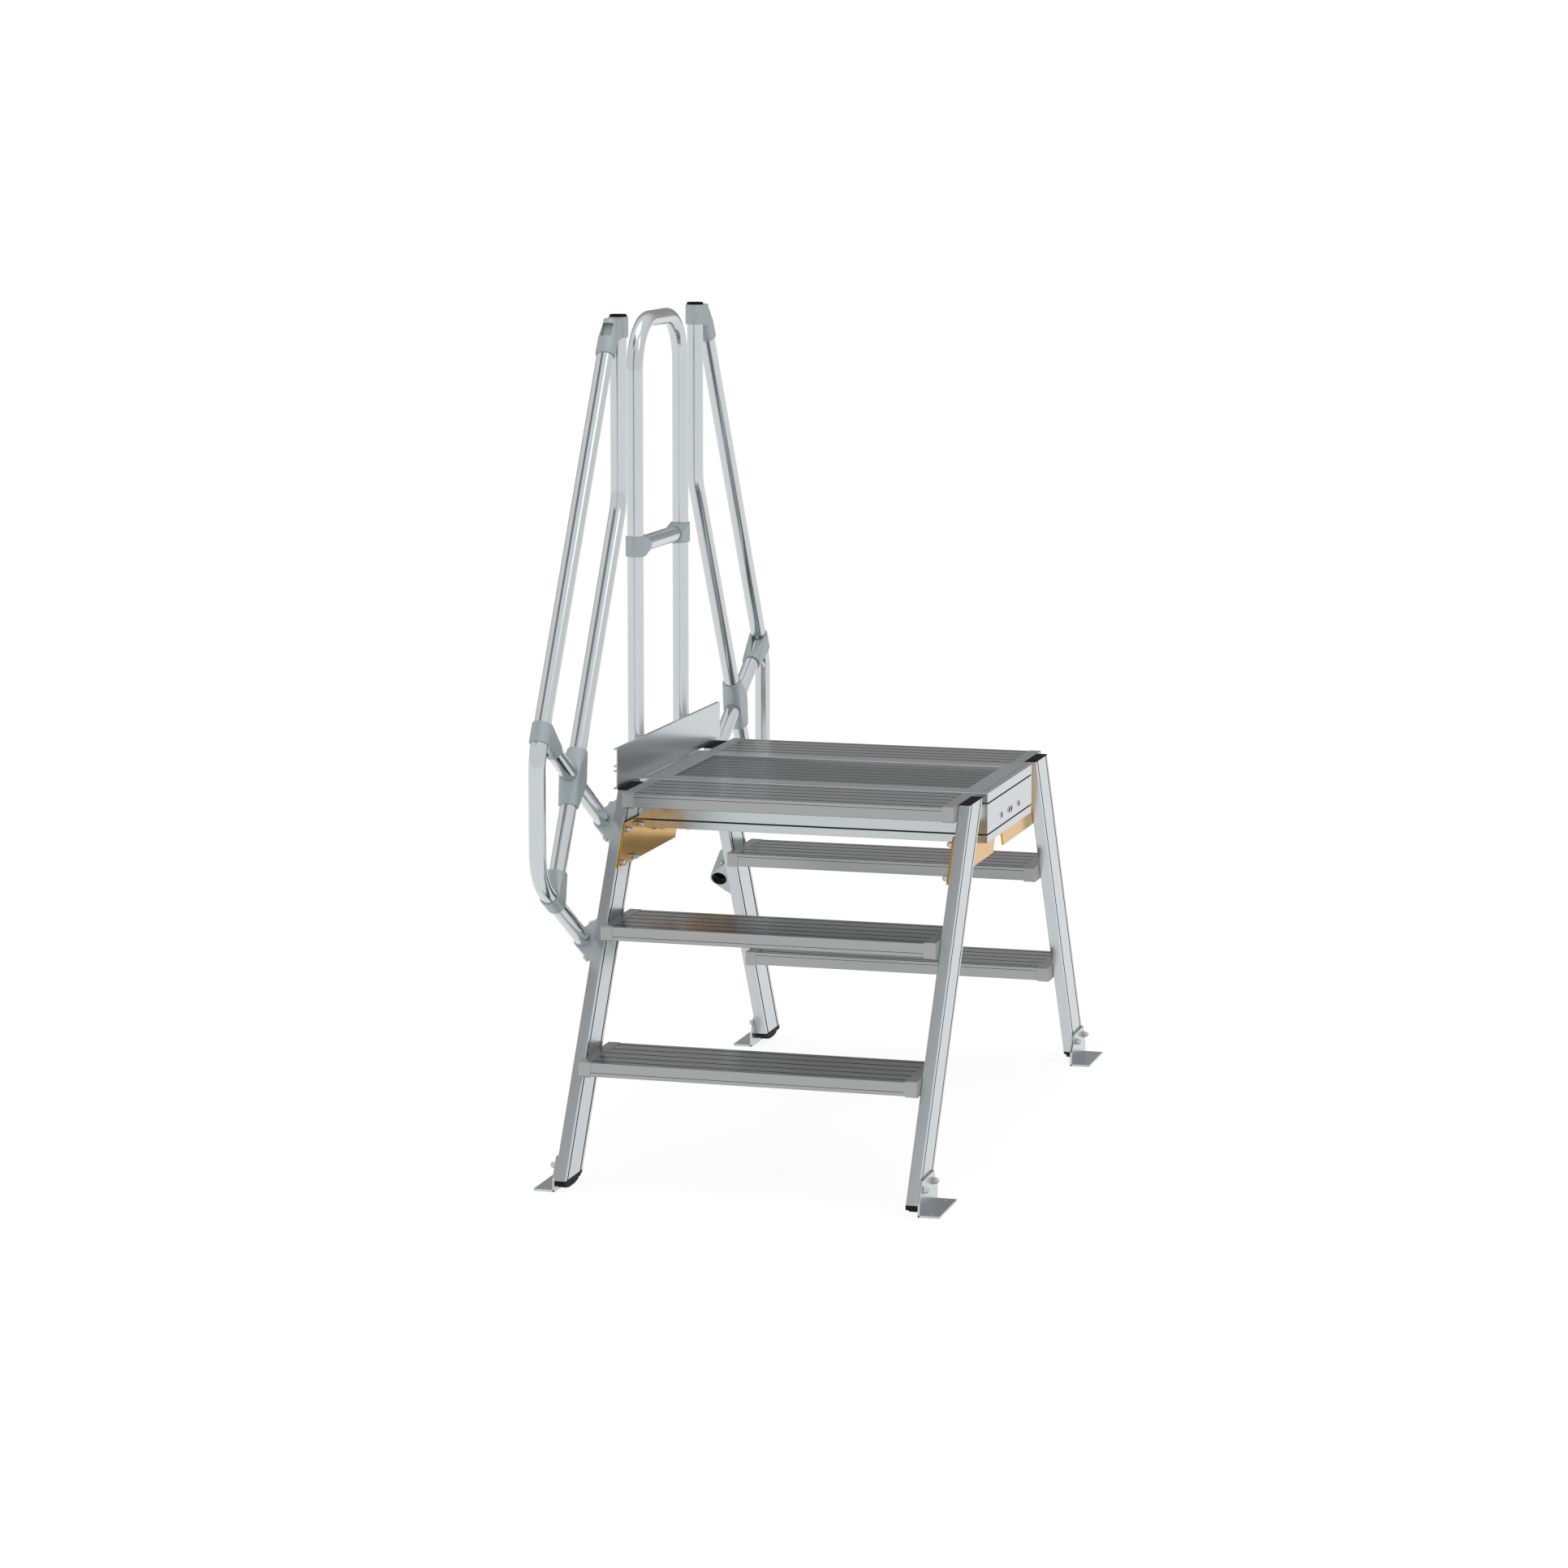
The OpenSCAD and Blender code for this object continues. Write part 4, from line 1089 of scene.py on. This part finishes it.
def toe_board():
    """A plain sheet with four ribs on its outer face, the outer two level with its edges."""
    t = 0.0085
    h = 0.081
    w = 0.002
    half = 0.0015
    length = 0.714
    points = [(0, h), (0, 0)]
    for z in (half, h * 0.44, h * 0.56, h - half):
        a = z - half
        b = z + half
        points += [(-w, a), (-t + 0.0012, a), (-t, a + 0.0009), (-t, b - 0.0009), (-t + 0.0012, b), (-w, b)]
    bm = bar(points, length)
    face = RAIL_X - RAIL_R - t
    return set_in(bm, (-face, -length / 2, TOP + 0.0006), (1, 0, 0), (0, 0, 1), (0, 1, 0))


put("toe_board_new", toe_board(), toe_alu, ["toe_board"])

# ---------- Floor, light and camera ----------

floor_finish = Finish("pale_floor")
floor_finish.set(Base_Color=(0.14, 0.14, 0.14, 1), Roughness=1.0, Specular_IOR_Level=0.0)
floor_finish.set(Emission_Color=(1, 1, 1, 1), Emission_Strength=0.90)
bm = bmesh.new()
bmesh.ops.create_circle(bm, cap_ends=True, segments=96, radius=60.0)
mesh = bpy.data.meshes.new("floor")
bm.to_mesh(mesh)
bm.free()
mesh.materials.append(floor_finish.material)
floor = bpy.data.objects.new("floor", mesh)
bpy.context.scene.collection.objects.link(floor)

world = bpy.data.worlds.new("studio")
bpy.context.scene.world = world
world.use_nodes = True
nodes = world.node_tree.nodes
links = world.node_tree.links
spot = nodes.new("ShaderNodeTexCoord")


def ramp_of(socket, stops):
    """Grey levels along a number."""
    ramp = nodes.new("ShaderNodeValToRGB")
    while len(ramp.color_ramp.elements) < len(stops):
        ramp.color_ramp.elements.new(0.5)
    for element, (place, level) in zip(ramp.color_ramp.elements, stops):
        element.position = place
        element.color = (level, level, level, 1)
    links.new(socket, ramp.inputs[0])
    return ramp.outputs[0]


def times(first, second):
    """Two colours multiplied."""
    node = nodes.new("ShaderNodeVectorMath")
    node.operation = "MULTIPLY"
    links.new(first, node.inputs[0])
    links.new(second, node.inputs[1])
    return node.outputs[0]


def towards(azimuth, height):
    """How nearly a direction of the sky points this way: 1 straight at it."""
    node = nodes.new("ShaderNodeVectorMath")
    node.operation = "DOT_PRODUCT"
    links.new(spot.outputs["Generated"], node.inputs[0])
    a = math.radians(azimuth)
    h = math.radians(height)
    node.inputs[1].default_value = (math.sin(a) * math.cos(h), -math.cos(a) * math.cos(h), math.sin(h))
    return node.outputs["Value"]


axes = nodes.new("ShaderNodeSeparateXYZ")
links.new(spot.outputs["Generated"], axes.inputs[0])
dome = ramp_of(axes.outputs["Z"], ((0.0, 0.88), (0.30, 0.90), (0.6, 0.92), (1.0, 0.98)))
dark = ramp_of(towards(-36, 54), ((0.0, 1.0), (0.955, 1.0), (0.982, 0.30), (1.0, 0.22)))
dusk = ramp_of(towards(195.6, 4), ((0.0, 1.0), (0.60, 1.0), (0.88, 0.42), (1.0, 0.38)))
sky = nodes["Background"]
links.new(times(times(dome, dark), dusk), sky.inputs["Color"])
plain = nodes.new("ShaderNodeBackground")
plain.inputs["Color"].default_value = (1, 1, 1, 1)
plain.inputs["Strength"].default_value = 1.0
path = nodes.new("ShaderNodeLightPath")
blend = nodes.new("ShaderNodeMixShader")
links.new(path.outputs["Is Camera Ray"], blend.inputs[0])
links.new(sky.outputs[0], blend.inputs[1])
links.new(plain.outputs[0], blend.inputs[2])
links.new(blend.outputs[0], nodes["World Output"].inputs[0])


def soft_box(name, place, target, size, power):
    """A rectangular lamp that faces its target."""
    light = bpy.data.lights.new(name, "AREA")
    light.shape = "RECTANGLE"
    light.size = size[0]
    light.size_y = size[1]
    light.energy = power
    obj = bpy.data.objects.new(name, light)
    obj.location = place
    obj.rotation_mode = "QUATERNION"
    obj.rotation_quaternion = (Vector(target) - Vector(place)).to_track_quat("-Z", "Y")
    bpy.context.scene.collection.objects.link(obj)


soft_box("overhead", (-0.6, -0.6, 5.6), (0, 0, 0.8), (3.0, 3.0), 22)
soft_box("fill", (2.84, -1.51, 4.63), (0, 0, 0.9), (1.3, 1.8), 8)

AZ = math.radians(15.6021)
EL = math.radians(8.8361)
ROLL = math.radians(0.077)
back = Vector((math.sin(AZ) * math.cos(EL), -math.cos(AZ) * math.cos(EL), math.sin(EL)))
right = Vector((math.cos(AZ), math.sin(AZ), 0))
up = back.cross(right)
right_rolled = math.cos(ROLL) * right + math.sin(ROLL) * up
up_rolled = -math.sin(ROLL) * right + math.cos(ROLL) * up
CAMERA_AIM = Vector((-0.1137, 0, 0.6885))
CAMERA_FAR = 9.1468
camera_data = bpy.data.cameras.new("camera")
camera_data.sensor_width = 36.0
camera_data.lens = 103.146
camera_data.clip_end = 200
camera = bpy.data.objects.new("camera", camera_data)
turn = Matrix((right_rolled, up_rolled, back)).transposed()
camera.matrix_world = Matrix.Translation(CAMERA_AIM + back * CAMERA_FAR) @ turn.to_4x4()
bpy.context.scene.collection.objects.link(camera)
bpy.context.scene.camera = camera
bpy.context.scene.view_settings.view_transform = "Standard"
